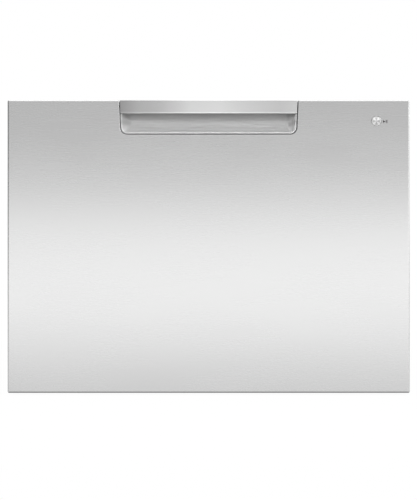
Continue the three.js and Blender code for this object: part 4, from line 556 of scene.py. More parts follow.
def ribbed_hose(name: str, path: Path, radius: float, pitch: float, finish: "Finish") -> Object:
    """Draws a corrugated hose along a path.

    Args:
        name: The piece's name.
        path: The points of its middle line.
        radius: Its outer radius.
        pitch: The distance between two ribs.
        finish: The finish.

    Returns:
        The piece.
    """
    length = sum((Vector(b) - Vector(a)).length for a, b in zip(path, path[1:]))
    source = bpy.data.meshes.new(name)
    source.from_pydata(path, [(i, i + 1) for i in range(len(path) - 1)], [])
    values = {"Radius": float(radius), "Samples": int(4 * length / pitch), "Groove": 0.84}
    pattern = Pattern("Ribs along a hose", values)
    given = pattern.given
    run = pattern.add("GeometryNodeMeshToCurve", {"Mesh": given["Geometry"]})
    even = pattern.add("GeometryNodeResampleCurve", {"Curve": run, "Count": given["Samples"]}, mode="COUNT")
    number = pattern.add("GeometryNodeInputIndex")
    phase = pattern.add("ShaderNodeMath", {0: number, 1: 4.0}, operation="MODULO")
    low = pattern.add("ShaderNodeMath", {0: phase, 1: 1.5}, operation="GREATER_THAN")
    size = pattern.add("ShaderNodeMapRange", {0: low, 1: 0.0, 2: 1.0, 3: 1.0, 4: given["Groove"]})
    circle = {"Resolution": 24, "Radius": given["Radius"]}
    section = pattern.add("GeometryNodeCurvePrimitiveCircle", circle, mode="RADIUS")
    drawn = pattern.add(
        "GeometryNodeCurveToMesh",
        {"Curve": even, "Profile Curve": section, "Scale": size, "Fill Caps": True},
    )
    return pattern.make(name, drawn, finish, source)


# ---------- Finishes ----------


def linear(code: str) -> tuple[float, float, float, float]:
    """Turns an sRGB hex colour into the linear values that a shader reads."""
    parts = [int(code[i : i + 2], 16) / 255 for i in (1, 3, 5)]
    return (*(p / 12.92 if p <= 0.04045 else ((p + 0.055) / 1.055) ** 2.4 for p in parts), 1.0)


def tinted(code: str, share: float) -> tuple[float, float, float, float]:
    """Gives a hex colour in linear values, lightened or darkened by a share."""
    red, green, blue, _ = linear(code)
    return (red * (1 + share), green * (1 + share), blue * (1 + share), 1.0)


def in_millimetres(tree: NodeTree, size: Sequence[float]) -> Node:
    """Gives object coordinates in which one unit is a size in millimetres along each axis.

    Args:
        tree: The material's tree.
        size: The size of a unit along X, Y and Z.

    Returns:
        The node that gives them.
    """
    place = add_node(tree, "ShaderNodeTexCoord")
    scale = [1 / (MM * s) for s in size]
    return add_node(tree, "ShaderNodeMapping", {"Vector": place.outputs["Object"], "Scale": scale})


def grains(tree: NodeTree, size: Sequence[float], detail: float, roughness: float = 0.5) -> Inputs:
    """Gives the inputs of a noise whose grains have a size in millimetres along each axis."""
    return {"Vector": in_millimetres(tree, size), "Scale": 1.0, "Detail": detail, "Roughness": roughness}


def between(value: NodeSocket, ramp: Ramp) -> Inputs:
    """Gives the inputs that carry a value along a ramp."""
    low, high, first, last = ramp
    return {0: value, 1: low, 2: high, 3: first, 4: last}


@dataclass(frozen=True)
class Finish:
    """How a surface is made, and the record's material slot that it belongs to."""

    name: str
    slot: str
    colour: str
    roughness: float
    metallic: float = 0.0

    def material(self) -> Material:
        """Gives the material, which is made on first use.

        Returns:
            The material.
        """
        found = bpy.data.materials.get(self.name)
        if found:
            return found
        made = bpy.data.materials.new(self.name)
        made.use_nodes = True
        tree = made.node_tree
        shader = next(n for n in tree.nodes if n.type == "BSDF_PRINCIPLED")
        shader.inputs["Base Color"].default_value = linear(self.colour)
        shader.inputs["Roughness"].default_value = self.roughness
        shader.inputs["Metallic"].default_value = self.metallic
        self.dress(tree, shader)
        return made

    def dress(self, tree: NodeTree, shader: Node) -> None:
        """Adds the finish's own pattern; a plain finish has none."""

    def vary(self, tree: NodeTree, shader: Node, pattern: Node, share: float, rough: float) -> None:
        """Lets a pattern from 0 to 1 change colour and roughness.

        Args:
            tree: The material's tree.
            shader: Its shader.
            pattern: The pattern.
            share: How much lighter or darker the colour gets.
            rough: How much the roughness goes up and down.
        """
        shades = {0: pattern, 6: tinted(self.colour, -share), 7: tinted(self.colour, share)}
        blend = add_node(tree, "ShaderNodeMix", shades, data_type="RGBA")
        tree.links.new(blend.outputs[2], shader.inputs["Base Color"])
        ends = {0: pattern, 1: 0.3, 2: 0.7, 3: self.roughness - rough, 4: self.roughness + rough}
        spread_out = add_node(tree, "ShaderNodeMapRange", ends)
        tree.links.new(spread_out.outputs[0], shader.inputs["Roughness"])

    def overlay(self, tree: NodeTree, shader: Node, painted_light_layer: Node) -> None:
        """Multiplies the colour so far by a layer of painted light and shade.

        Args:
            tree: The material's tree.
            shader: Its shader.
            painted_light_layer: The painted light and shade.
        """
        # painted light and shade multiply the base colour here
        under = shader.inputs["Base Color"].links[0].from_socket
        both = add_node(
            tree, "ShaderNodeMix", {0: 1.0, 6: under, 7: painted_light_layer}, data_type="RGBA", blend_type="MULTIPLY"
        )
        tree.links.new(both.outputs[2], shader.inputs["Base Color"])

    def relief(self, tree: NodeTree, shader: Node, pattern: Node, depth: float, strength: float) -> None:
        """Lets a pattern stand out of the surface by a depth in millimetres.

        Args:
            tree: The material's tree.
            shader: Its shader.
            pattern: The pattern.
            depth: How far it stands out.
            strength: How much of it shows.
        """
        raised = {"Strength": strength, "Distance": depth * MM, "Height": pattern}
        bump = add_node(tree, "ShaderNodeBump", raised)
        tree.links.new(bump.outputs[0], shader.inputs["Normal"])


@dataclass(frozen=True)
class BrushedSteel(Finish):
    """Stainless sheet drawn past a belt: long fine scratches along X that stretch a highlight."""

    metallic: float = 1.0
    stretch: float = 0.5
    scratch: Size = (90.0, 90.0, 1.1)  # real ones are 0.1 apart, too fine to show
    cloud: Size = (160.0, 160.0, 60.0)

    def dress(self, tree: NodeTree, shader: Node) -> None:
        """Adds scratches and the faint cloud of a fingerprint coat.

        Args:
            tree: The material's tree.
            shader: Its shader.
        """
        shader.inputs["Anisotropic"].default_value = self.stretch
        streaks = add_node(tree, "ShaderNodeTexNoise", grains(tree, self.scratch, 4.0, 0.6))
        cloud = add_node(tree, "ShaderNodeTexNoise", grains(tree, self.cloud, 2.0))
        both = add_node(tree, "ShaderNodeMath", {0: streaks, 1: cloud}, operation="ADD")
        half = add_node(tree, "ShaderNodeMath", {0: both, 1: 0.5}, operation="MULTIPLY")
        self.vary(tree, shader, half, 0.035, 0.02)
        self.relief(tree, shader, streaks, 0.02, 0.05)


@dataclass(frozen=True)
class RolledLip(BrushedSteel):
    """The brushed sheet of the handle's lip, with a painted reflection: its ends are painted darker than its
    middle.
    """

    half_length: float = 133.0
    shine: tuple[tuple[float, float], ...] = (
        (0.0, 0.46), (0.1, 0.64), (0.22, 0.73), (0.4, 0.99), (0.56, 1.02), (0.7, 0.9), (0.9, 0.79),
        (1.0, 0.84),
    )  # painted reflection: how bright the lip lies at a share of the length from the left

    def dress(self, tree: NodeTree, shader: Node) -> None:
        """Adds the scratches, and a painted reflection: the middle is painted brighter than the ends.

        Args:
            tree: The material's tree.
            shader: Its shader.
        """
        super().dress(tree, shader)
        # painted reflection along X: a colour ramp, lighter in the middle and darker at the ends
        place = add_node(tree, "ShaderNodeTexCoord")
        along = add_node(tree, "ShaderNodeSeparateXYZ", {0: place.outputs["Object"]})
        end = self.half_length * MM
        share = add_node(tree, "ShaderNodeMapRange", {0: along, 1: -end, 2: end, 3: 0.0, 4: 1.0})
        painted_reflection = add_node(tree, "ShaderNodeValToRGB", {0: share})
        while len(painted_reflection.color_ramp.elements) < len(self.shine):
            painted_reflection.color_ramp.elements.new(0.5)
        for stop, (where, shine) in zip(painted_reflection.color_ramp.elements, self.shine):
            stop.position = where
            stop.color = (shine, shine, shine, 1.0)
        self.overlay(tree, shader, painted_reflection)


@dataclass(frozen=True)
class SpunSteel(Finish):
    """A face turned on a lathe: rings too fine to see, and crossed streaks of light painted into its colour.
    """

    metallic: float = 1.0
    centre: tuple[float, float] = (249.5, 408.7)
    # the painted shade between the painted highlight streaks
    shadow: str = "#a0a0a0"
    flat: float = 4.4  # the streaks fade from this radius
    rim: float = 6.4  # to this one
    rings: float = 12000.0  # radians in a metre: a ring every 0.5 mm, coarser than the real ones

    def dress(self, tree: NodeTree, shader: Node) -> None:
        """Adds four painted highlight streaks about the centre, painted light that grows towards the rim, and
        rings.

        Args:
            tree: The material's tree.
            shader: Its shader.
        """
        place = add_node(tree, "ShaderNodeTexCoord")
        middle = (-self.centre[0] * MM, 0, -self.centre[1] * MM)
        shift = add_node(tree, "ShaderNodeMapping", {"Vector": place.outputs["Object"], "Location": middle})
        parts = add_node(tree, "ShaderNodeSeparateXYZ", {0: shift})
        # painted highlights: four crossed streaks, and a rim painted lighter, mixed between the shade colour
        # and the light colour
        angle = add_node(tree, "ShaderNodeMath", {0: parts.outputs[2], 1: parts}, operation="ARCTAN2")
        fourfold = add_node(tree, "ShaderNodeMath", {0: angle, 1: 4.0}, operation="MULTIPLY")
        wave = add_node(tree, "ShaderNodeMath", {0: fourfold}, operation="COSINE")
        painted_streak = add_node(tree, "ShaderNodeMapRange", {0: wave, 1: 0.9, 2: -1.0, 3: 0.0, 4: 1.0})
        across = add_node(tree, "ShaderNodeVectorMath", {0: shift, 1: (1, 0, 1)}, operation="MULTIPLY")
        reach = add_node(tree, "ShaderNodeVectorMath", {0: across}, operation="LENGTH").outputs["Value"]
        ends = {0: reach, 1: self.flat * MM, 2: self.rim * MM, 3: 0.0, 4: 0.6}
        painted_rim_light = add_node(tree, "ShaderNodeMapRange", ends)
        light = add_node(tree, "ShaderNodeMath", {0: painted_streak, 1: painted_rim_light}, operation="MAXIMUM")
        shades = {0: light, 6: linear(self.shadow), 7: linear(self.colour)}
        blend = add_node(tree, "ShaderNodeMix", shades, data_type="RGBA")
        tree.links.new(blend.outputs[2], shader.inputs["Base Color"])
        rings = add_node(tree, "ShaderNodeMath", {0: reach, 1: self.rings}, operation="MULTIPLY")
        turned = add_node(tree, "ShaderNodeMath", {0: rings}, operation="SINE")
        self.relief(tree, shader, turned, 0.01, 0.3)


@dataclass(frozen=True)
class ZincSheet(Finish):
    """Hot-dip galvanised sheet: pale crystals that meet at straight edges."""

    metallic: float = 1.0
    crystal: float = 9.0
    cloud: float = 30.0

    def dress(self, tree: NodeTree, shader: Node) -> None:
        """Adds the spangle, each crystal with its own shine, under a fine cloud.

        Args:
            tree: The material's tree.
            shader: Its shader.
        """
        place = in_millimetres(tree, (self.crystal,) * 3)
        cells = add_node(tree, "ShaderNodeTexVoronoi", {"Vector": place, "Scale": 1.0})
        grey = add_node(tree, "ShaderNodeRGBToBW", {0: cells.outputs["Color"]})
        cloud = add_node(tree, "ShaderNodeTexNoise", grains(tree, (self.cloud,) * 3, 4.0))
        both = add_node(tree, "ShaderNodeMath", {0: grey, 1: cloud}, operation="ADD")
        half = add_node(tree, "ShaderNodeMath", {0: both, 1: 0.5}, operation="MULTIPLY")
        self.vary(tree, shader, half, 0.16, 0.07)
        self.relief(tree, shader, cloud, 0.05, 0.3)


@dataclass(frozen=True)
class PlatedSteel(Finish):
    """Cold-rolled or drawn steel with a thin plating: smooth, with faint marks along its length."""

    metallic: float = 1.0
    marks: Size = (4.0, 60.0, 4.0)

    def dress(self, tree: NodeTree, shader: Node) -> None:
        """Adds the marks of rolling.

        Args:
            tree: The material's tree.
            shader: Its shader.
        """
        rolled = add_node(tree, "ShaderNodeTexNoise", grains(tree, self.marks, 5.0, 0.6))
        self.vary(tree, shader, rolled, 0.12, 0.06)
        self.relief(tree, shader, rolled, 0.02, 0.3)


@dataclass(frozen=True)
class Moulded(Finish):
    """Injection-moulded plastic from a spark-eroded tool: an even fine texture, dull to satin."""

    texture: float = 0.9  # grain in millimetres, coarser than the real 0.1 so that it shows
    depth: float = 0.05
    flow: float = 45.0
    cloud: float = 0.03

    def dress(self, tree: NodeTree, shader: Node) -> None:
        """Adds the tool's texture and the faint flow of the melt.

        Args:
            tree: The material's tree.
            shader: Its shader.
        """
        shader.inputs["IOR"].default_value = 1.49
        sparks = add_node(tree, "ShaderNodeTexNoise", grains(tree, (self.texture,) * 3, 2.0, 0.6))
        flow = add_node(tree, "ShaderNodeTexNoise", grains(tree, (self.flow,) * 3, 3.0))
        self.vary(tree, shader, flow, self.cloud, 0.04)
        self.relief(tree, shader, sparks, self.depth, 0.45)


@dataclass(frozen=True)
class SilverPaint(Moulded):
    """Metallic silver paint on plastic: tiny flakes under a satin coat, with painted light and shade by
    height, darkest under the lip.
    """

    flake: float = 0.8  # far coarser than real flakes, so that they show
    floor_low: float = 394.0
    wall_top: float = 422.0
    painted_shading: tuple[tuple[float, float], ...] = (
        (0.0, 1.3), (0.2, 1.2), (0.27, 1.16), (0.375, 0.94), (0.44, 0.84), (0.5, 0.84), (0.6, 0.98),
        (0.66, 1.02), (0.8, 0.87), (0.9, 0.73), (0.98, 0.56),
    )  # painted light and shade: how bright it lies at a share of the height, darkest under the lip

    def dress(self, tree: NodeTree, shader: Node) -> None:
        """Adds flakes that sparkle a little, and painted light and shade by height, darkest under the lip.

        Args:
            tree: The material's tree.
            shader: Its shader.
        """
        super().dress(tree, shader)
        place = in_millimetres(tree, (self.flake,) * 3)
        flakes = add_node(tree, "ShaderNodeTexVoronoi", {"Vector": place, "Scale": 1.0})
        grey = add_node(tree, "ShaderNodeRGBToBW", {0: flakes.outputs["Color"]})
        self.vary(tree, shader, grey, 0.015, 0.01)
        # painted light and shade by height: painted dark under the lip and light near the pocket's floor
        height = add_node(tree, "ShaderNodeSeparateXYZ", {0: in_millimetres(tree, (1, 1, 1))}).outputs[2]
        ends = {0: height, 1: self.floor_low, 2: self.wall_top, 3: 0.0, 4: 1.0}
        share = add_node(tree, "ShaderNodeMapRange", ends)
        painted_shading_curve = add_node(tree, "ShaderNodeFloatCurve", {"Value": share})
        curve = painted_shading_curve.mapping.curves[0]
        # each stop gives how bright the painted shading lies at that height
        for where, thick in self.painted_shading[1:-1]:
            curve.points.new(where, thick / 2)  # the curve ends at 1, so it holds halves
        for end in (0, -1):
            curve.points[end].location = (self.painted_shading[end][0], self.painted_shading[end][1] / 2)
        painted_shading_curve.mapping.update()
        painted_light_layer = add_node(tree, "ShaderNodeMath", {0: painted_shading_curve, 1: 2.0}, operation="MULTIPLY")
        self.overlay(tree, shader, painted_light_layer)


@dataclass(frozen=True)
class Elastomer(Finish):
    """Moulded or extruded rubber: nearly black, dull, with a dusty bloom on its ridges."""

    pore: float = 0.8
    bloom: float = 18.0

    def dress(self, tree: NodeTree, shader: Node) -> None:
        """Adds the bloom and a skin of fine pores.

        Args:
            tree: The material's tree.
            shader: Its shader.
        """
        shader.inputs["IOR"].default_value = 1.52
        shader.inputs["Sheen Weight"].default_value = 0.15
        shader.inputs["Sheen Roughness"].default_value = 0.5
        pores = add_node(tree, "ShaderNodeTexNoise", grains(tree, (self.pore,) * 3, 2.0))
        bloom = add_node(tree, "ShaderNodeTexNoise", grains(tree, (self.bloom,) * 3, 4.0))
        self.vary(tree, shader, bloom, 0.18, 0.06)
        self.relief(tree, shader, pores, 0.06, 0.4)


@dataclass(frozen=True)
class NylonCoat(Finish):
    """Steel wire dipped in nylon powder: a thick soft skin with a waxy shine."""

    wave: float = 3.0

    def dress(self, tree: NodeTree, shader: Node) -> None:
        """Adds the slow waves of a fused coat.

        Args:
            tree: The material's tree.
            shader: Its shader.
        """
        shader.inputs["IOR"].default_value = 1.53
        shader.inputs["Coat Weight"].default_value = 0.25
        shader.inputs["Coat Roughness"].default_value = 0.2
        waves = add_node(tree, "ShaderNodeTexNoise", grains(tree, (self.wave,) * 3, 2.0))
        self.vary(tree, shader, waves, 0.04, 0.04)
        self.relief(tree, shader, waves, 0.12, 0.4)


@dataclass(frozen=True)
class Banded(Finish):
    """Wound wire or stacked sheets: fine even bands up the Z axis."""

    metallic: float = 1.0
    pitch: float = 1.0

    def dress(self, tree: NodeTree, shader: Node) -> None:
        """Adds the bands.

        Args:
            tree: The material's tree.
            shader: Its shader.
        """
        parts = add_node(tree, "ShaderNodeSeparateXYZ", {0: in_millimetres(tree, (self.pitch,) * 3)})
        turn = {0: parts.outputs[2], 1: 2 * math.pi}
        turns = add_node(tree, "ShaderNodeMath", turn, operation="MULTIPLY")
        bands = add_node(tree, "ShaderNodeMath", {0: turns}, operation="SINE")
        share = add_node(tree, "ShaderNodeMapRange", {0: bands, 1: -1.0, 2: 1.0, 3: 0.0, 4: 1.0})
        self.vary(tree, shader, share, 0.2, 0.05)
        self.relief(tree, shader, share, 0.2, 0.6)


@dataclass(frozen=True)
class Laminate(Finish):
    """Glass laminate under green solder mask: glossy, with paler copper tracks."""

    def dress(self, tree: NodeTree, shader: Node) -> None:
        """Adds tracks as the gaps of a brick pattern on the board's face.

        Args:
            tree: The material's tree.
            shader: Its shader.
        """
        place = add_node(tree, "ShaderNodeTexCoord")
        parts = add_node(tree, "ShaderNodeSeparateXYZ", {0: place.outputs["Object"]})
        flat = add_node(tree, "ShaderNodeCombineXYZ", {0: parts, 1: parts.outputs[2]})
        bricks = {
            "Vector": flat, "Color1": linear(self.colour), "Color2": tinted(self.colour, 0.2),
            "Mortar": tinted(self.colour, 1.2), "Scale": 100.0, "Mortar Size": 0.04,
        }
        tracks = add_node(tree, "ShaderNodeTexBrick", bricks)
        tree.links.new(tracks.outputs[0], shader.inputs["Base Color"])
        shader.inputs["Coat Weight"].default_value = 0.4


@dataclass(frozen=True)
class Acetal(Moulded):
    """Acetal gears: milky white, a little see-through at thin edges."""

    def dress(self, tree: NodeTree, shader: Node) -> None:
        """Adds the milky depth.

        Args:
            tree: The material's tree.
            shader: Its shader.
        """
        super().dress(tree, shader)
        shader.inputs["Subsurface Weight"].default_value = 0.2
        shader.inputs["Subsurface Radius"].default_value = (0.003, 0.003, 0.002)


STAINLESS = BrushedSteel("brushed_stainless_sheet", "brushed_steel", "#afafaf", 0.27)
LIP_STEEL = RolledLip("brushed_stainless_lip", "lip_steel", "#cdcdcd", 0.25)
TURNED_STEEL = SpunSteel("spun_stainless_button", "spun_steel", "#d2d2d2", 0.3)
ZINC = ZincSheet("galvanised_sheet", "galvanised_steel", "#a7abae", 0.42)
RUNNER_STEEL = PlatedSteel("zinc_plated_runner", "runner_steel", "#9da1a4", 0.3)
SCREW_STEEL = PlatedSteel("zinc_plated_screws", "galvanised_steel", "#b7b5ab", 0.28, marks=(3, 3, 3))
SPRING_STEEL = PlatedSteel("drawn_spring_wire", "spring_steel", "#9a9a98", 0.25)
HEATER_STEEL = PlatedSteel("drawn_heater_tube", "spring_steel", "#8f8a84", 0.3, marks=(9, 9, 9))
PERFORATED = BrushedSteel("brushed_filter_sheet", "brushed_steel", "#9a9a99", 0.34, scratch=(40.0,) * 3)
COPPER = Banded("enamelled_copper_windings", "motor_steel", "#b0653a", 0.3, pitch=1.1)
STACK = Banded("stacked_motor_sheets", "motor_steel", "#77797a", 0.4, pitch=1.0)
SILVER = SilverPaint("silver_painted_pocket", "pocket_plastic", "#aeaeae", 0.45, depth=0.01)
LINER = Moulded("moulded_grey_liner", "liner_plastic", "#6f7376", 0.55)
TUB_WHITE = Moulded("moulded_polypropylene_tub", "tub_plastic", "#d5d7d8", 0.38, texture=1.4)
LID_WHITE = Moulded("moulded_polypropylene_lid", "lid_plastic", "#cbced0", 0.42, texture=1.4)
PAN_BLACK = Moulded("moulded_pan", "pan_plastic", "#3b3d3f", 0.6, texture=1.6, depth=0.1)
DARK = Moulded("moulded_dark_grey", "dark_plastic", "#43484b", 0.48)
BLUE = Moulded("polished_blue_cap", "blue_plastic", "#3c6d99", 0.25, texture=3.0, depth=0.02)
RUBBER = Elastomer("moulded_rubber", "rubber", "#2c2c2d", 0.7)
WIRE = NylonCoat("nylon_coated_wire", "coated_wire", "#b6babd", 0.36)
BOARD = Laminate("solder_masked_board", "circuit_board", "#1f5a3c", 0.4)
GEAR = Acetal("moulded_acetal", "gear_plastic", "#e6e4dc", 0.45)
INK = Moulded("printed_ink", "dark_plastic", "#231f20", 0.6)


def fit(piece: Object, finish: Finish, *nodes: str, body: str = "") -> Object:
    """Dresses a piece, hangs it on its body and lets it stand for nodes.

    Args:
        piece: The piece.
        finish: Its finish.
        nodes: The nodes that it replaces.
        body: The body that it rides on, if it replaces none.

    Returns:
        The piece.
    """
    piece.data.materials.clear()
    piece.data.materials.append(finish.material())
    body = body or BODY_OF[nodes[0]]
    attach(piece, body)
    if nodes:
        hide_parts(*nodes)
    LOG.info("%s rides on %s, %d faces", piece.name, body, len(piece.data.polygons))
    return piece


def refit(node: str, name: str, finish: Finish, width: float) -> None:
    """Replaces a node by a finer copy of itself, with edges rounded by a width."""
    fit(formed(node, name, width), finish, node)


def refit_pair(node: str, name: str, finish: Finish, width: float) -> None:
    """Replaces the right and the left node of a pair by finer copies of themselves."""
    for hand in Hand:
        refit(hand.node(node), hand.node(name), finish, width)


def outwards(shape: Object, hand: Hand) -> Object:
    """Turns a shape that points along +X so that it points away from the middle.

    Args:
        shape: The shape.
        hand: The side that it is for.

    Returns:
        The same shape.
    """
    if hand is Hand.LEFT:
        shape.data.transform(Matrix.Rotation(math.pi, 4, "Z"))
    return shape


def screw_head(radius: float, height: float, facing: Axis, sign: int) -> Object:
    """Makes a pan-head screw with a cross recess, in millimetres.

    Args:
        radius: The head's radius.
        height: How far it stands out.
        facing: The axis that it points along, X or Y.
        sign: Which way it points.

    Returns:
        The shape, with its seat at the origin.
    """
    side, corner = 0.35 * height, 0.45 * radius
    dome = [(0, -0.2), (radius, -0.2), (radius, side), *arc(radius - corner, side, corner, 0, 90, 3)]
    dome = [(r, h if h < 0 else h * height / (side + corner)) for r, h in dome]
    dome += [(0.3 * radius, height), (0, height)]
    head = Form().lathe(Axis.Z, dome, sides=16).mesh_object("screw_head", 1.0)
    cross = Form()
    for half_u, half_v in ((0.55 * radius, 0.12 * radius), (0.12 * radius, 0.55 * radius)):
        cross.block((-half_u, -half_v, 0.45 * height), (half_u, half_v, 2 * height))
    cutter = cross.mesh_object("cross_recess", 1.0)
    boolean = head.modifiers.new("Recess", "BOOLEAN")
    boolean.object = cutter
    boolean.use_self = True
    freeze(head)
    bpy.data.objects.remove(cutter)
    about, turn = ("Y", 90.0 * sign) if facing is Axis.X else ("X", -90.0 * sign)
    head.data.transform(Matrix.Rotation(math.radians(turn), 4, about))
    return head


# ---------- The front ----------


@dataclass
class DrawerFront:
    """The steel front with its handle: skin, lip, pocket, liner, seal and the start mark."""

    face: float = -282.5
    half_width: float = 299.5
    low: float = 4.0
    top: float = 440.0
    edge: float = 3.0
    sheet: float = 1.0
    corner: float = 2.5
    depth: float = 18.0
    opening_low: float = 388.7
    opening_half: float = 131.9
    opening_slope: float = 1.8 / 51.3
    opening_corner: float = 10.5
    lip_low: float = 419.8
    lip_bow: float = 4.0
    lip_sheet: float = 1.5
    lip_root: float = 17.0  # how far back its top runs
    lip_gap: float = 1.5
    pocket_back: float = -257.8
    pocket_rim: tuple[float, float] = (-281.2, -279.2)
    button: tuple[float, float] = (249.5, 408.7)
    button_hole: float = 7.4
    mark_z: float = 408.1
    mark_half: float = 2.2
    mark_arrow: tuple[float, float] = (259.3, 262.8)
    mark_bars: tuple[float, float] = (263.5, 265.0)
    mark_bar: float = 0.9

    def opening(self, inset: float, top: float) -> Loop:
        """Gives the handle opening's outline.

        Args:
            inset: How far it stands in from the skin's edge.
            top: Where it ends at the top.

        Returns:
            Points in X and Z, from the top right round the bottom to the top left.
        """
        low = self.opening_low + inset
        radius = max(self.opening_corner - inset, 2.0)
        half = self.opening_half - inset
        wide = half + self.opening_slope * (top - self.opening_low)
        right = arc(half - radius, low + radius, radius, 0, -90, 10)
        left = arc(radius - half, low + radius, radius, -90, -180, 10)
        return [(wide, top), *right, *left, (-wide, top)]

    def skin_ring(self, inset: float, y: float) -> Path:
        """Gives the skin's outline at an inset from its sides, at a depth.

        Args:
            inset: How far it stands in from the sides.
            y: The depth.

        Returns:
            The closed outline.
        """
        half_height = (self.top - self.low) / 2
        outline = rounded(self.half_width - inset, half_height - inset, max(self.corner - inset, 0.6), 6)
        return [(u, y, self.low + half_height + v) for u, v in outline]

    def fold(self, radius: float, start: float, end: float) -> list[Path]:
        """Gives the skin's outlines round its folded edge, between two angles in degrees.

        Args:
            radius: The fold's radius.
            start: The first angle.
            end: The last angle.

        Returns:
            The outlines, one for each step of the fold.
        """
        rings = []
        for degrees in spread(start, end, 9):
            c, s = math.cos(math.radians(degrees)), math.sin(math.radians(degrees))
            rings.append(self.skin_ring(self.edge - radius * c, self.face + self.edge - radius * s))
        return rings

    def skin(self) -> None:
        """Makes the folded sheet with its openings."""
        back, hole = self.face + self.depth, self.button_hole
        flange = [self.skin_ring(0, back), self.skin_ring(self.sheet, back)]
        rings = self.fold(self.edge, 90, 0) + flange + self.fold(self.edge - self.sheet, 0, 90)
        piece = Form().skin(rings).mesh_object("front_sheet")
        room = Form().prism(Axis.Y, self.opening(0, self.top + 4), self.face - 5, back + 2)
        near, far = self.face - 3, self.face + 3
        room.lathe(Axis.Y, [(0, near), (hole, near), (hole, far), (0, far)], self.button)
        carve(piece, room)
        fit(soften(piece, 0.3, 2, 50), STAINLESS, "front_skin")

    def opening_ring(self, name: str, section: Loop, top: float) -> Object:
        """Carries a section round the handle opening.

        Args:
            name: The piece's name.
            section: Pairs of inset from the sheet's edge and depth behind its face.
            top: Where both ends stop.

        Returns:
            The piece.
        """
        form = Form()
        rows = [form.row((u, self.face + y, v) for u, v in self.opening(inset, top)) for inset, y in section]
        for a, b in zip(rows, rows[1:] + rows[:1]):
            form.faces += [[a[i], a[i + 1], b[i + 1], b[i]] for i in range(len(a) - 1)]
        form.faces += [[row[0] for row in rows], [row[-1] for row in rows][::-1]]
        return shade(form.mesh_object(name), 50)

    def lip(self) -> None:
        """Makes the bowed lip with its hem."""
        low, top, thick, root = self.lip_low, self.top, self.lip_sheet, self.lip_root
        front = [
            *arc(thick, top - thick, thick, 90, 180), (0.0, top - 1.8), (0.0, low + 1.8),
            *arc(thick, low + thick, thick, 180, 360, 12), (2 * thick, low + 3), (thick, low + 4),
            (thick, top - thick),
        ]
        half_top = self.opening_half + self.opening_slope * (top - self.opening_low) - self.lip_gap
        rings = []
        for t in spread(-1, 1, 49):
            bow = self.lip_bow * (1 - t * t)
            profile = [(root, top), *((y - bow, z) for y, z in front), (root, top - thick)]
            half = [half_top - self.opening_slope * (top - z) for _, z in profile]
            rings.append([(t * u, self.face + y, z) for u, (y, z) in zip(half, profile)])
        piece = Form().skin(rings).mesh_object("handle_lip_sheet")
        fit(shade(piece, 32), LIP_STEEL, "handle_lip")

    def pocket(self) -> None:
        """Makes the finger pocket, a tray with a rolled rim and leaning walls."""
        face, back = self.face, self.pocket_back
        deep, (near, far) = back - face, self.pocket_rim
        hollow = [
            (17.1, back), (14.2, back - 0.6), (8.7, face + 0.75 * deep), (5.7, face + 0.4 * deep),
            (3.9, face + 2),
        ]
        rim = [
            (3.2, face + 0.75), (2.85, face + 0.28), (2.4, face + 0.1), (1.95, face + 0.28),
            (1.6, face + 0.8),
        ]
        shell = [
            (1.5, near), (-3.0, near), (-3.0, far), (1.5, far), (3.5, face + 0.4 * deep),
            (15.5, back + 2),
        ]
        rings = []
        for section, top in ((hollow, 436.2), (rim, 437.0), (shell, 438.2)):
            rings += [[(u, y, v) for u, v in self.opening(inset, top)] for inset, y in section]
        piece = Form().skin(rings).mesh_object("handle_pocket_tray")
        carve(piece, Form().block((-145, face - 5, self.lip_low - 0.3), (145, face + 3.3, self.top + 5)))
        fit(soften(piece, 0.5, 2, 40), SILVER, "handle_pocket")

    def reveal(self) -> None:
        """Rolls a bead round the opening and lays a dark rubber strip between it and the pocket's rim, as
        painted shade in the gap.
        """
        bead = [
            (-1.5, 0.05), (-1.3, -0.04), (-1.0, -0.08), (-0.6, 0.02), (-0.25, 0.22), (-0.02, 0.6),
            (-0.02, 0.9), (-1.5, 0.9),
        ]
        fit(self.opening_ring("opening_bead", bead, self.top - 1.2), STAINLESS, "front_skin")
        # a dark strip in the gap round the pocket's rim: painted shade where the gap lies in shadow
        section = [(0.15, 1.25), (0.15, 0.95), (1.45, 0.95), (1.45, 1.25)]
        fit(self.opening_ring("pocket_gasket", section, self.lip_low - 0.5), RUBBER, body="drawer")

    def mark(self) -> None:
        """Prints the plain start and pause sign beside the button."""
        low, z, high = self.mark_z - self.mark_half, self.mark_z, self.mark_z + self.mark_half
        y0, y1 = self.face - 0.05, self.face + 0.1
        left, tip = self.mark_arrow
        sign = Form().prism(Axis.Y, [(left, low), (tip, z), (left, high)], y0, y1)
        for left in self.mark_bars:
            sign.block((left, y0, low), (left + self.mark_bar, y1, high))
        fit(sign.mesh_object("start_pause_mark"), INK, body="drawer")

    def build(self) -> None:
        """Makes the whole front."""
        self.skin()
        self.lip()
        self.pocket()
        self.reveal()
        self.mark()
        refit("front_liner", "front_liner_moulding", LINER, 0.4)
        refit("front_seal", "front_seal_extrusion", RUBBER, 0.3)


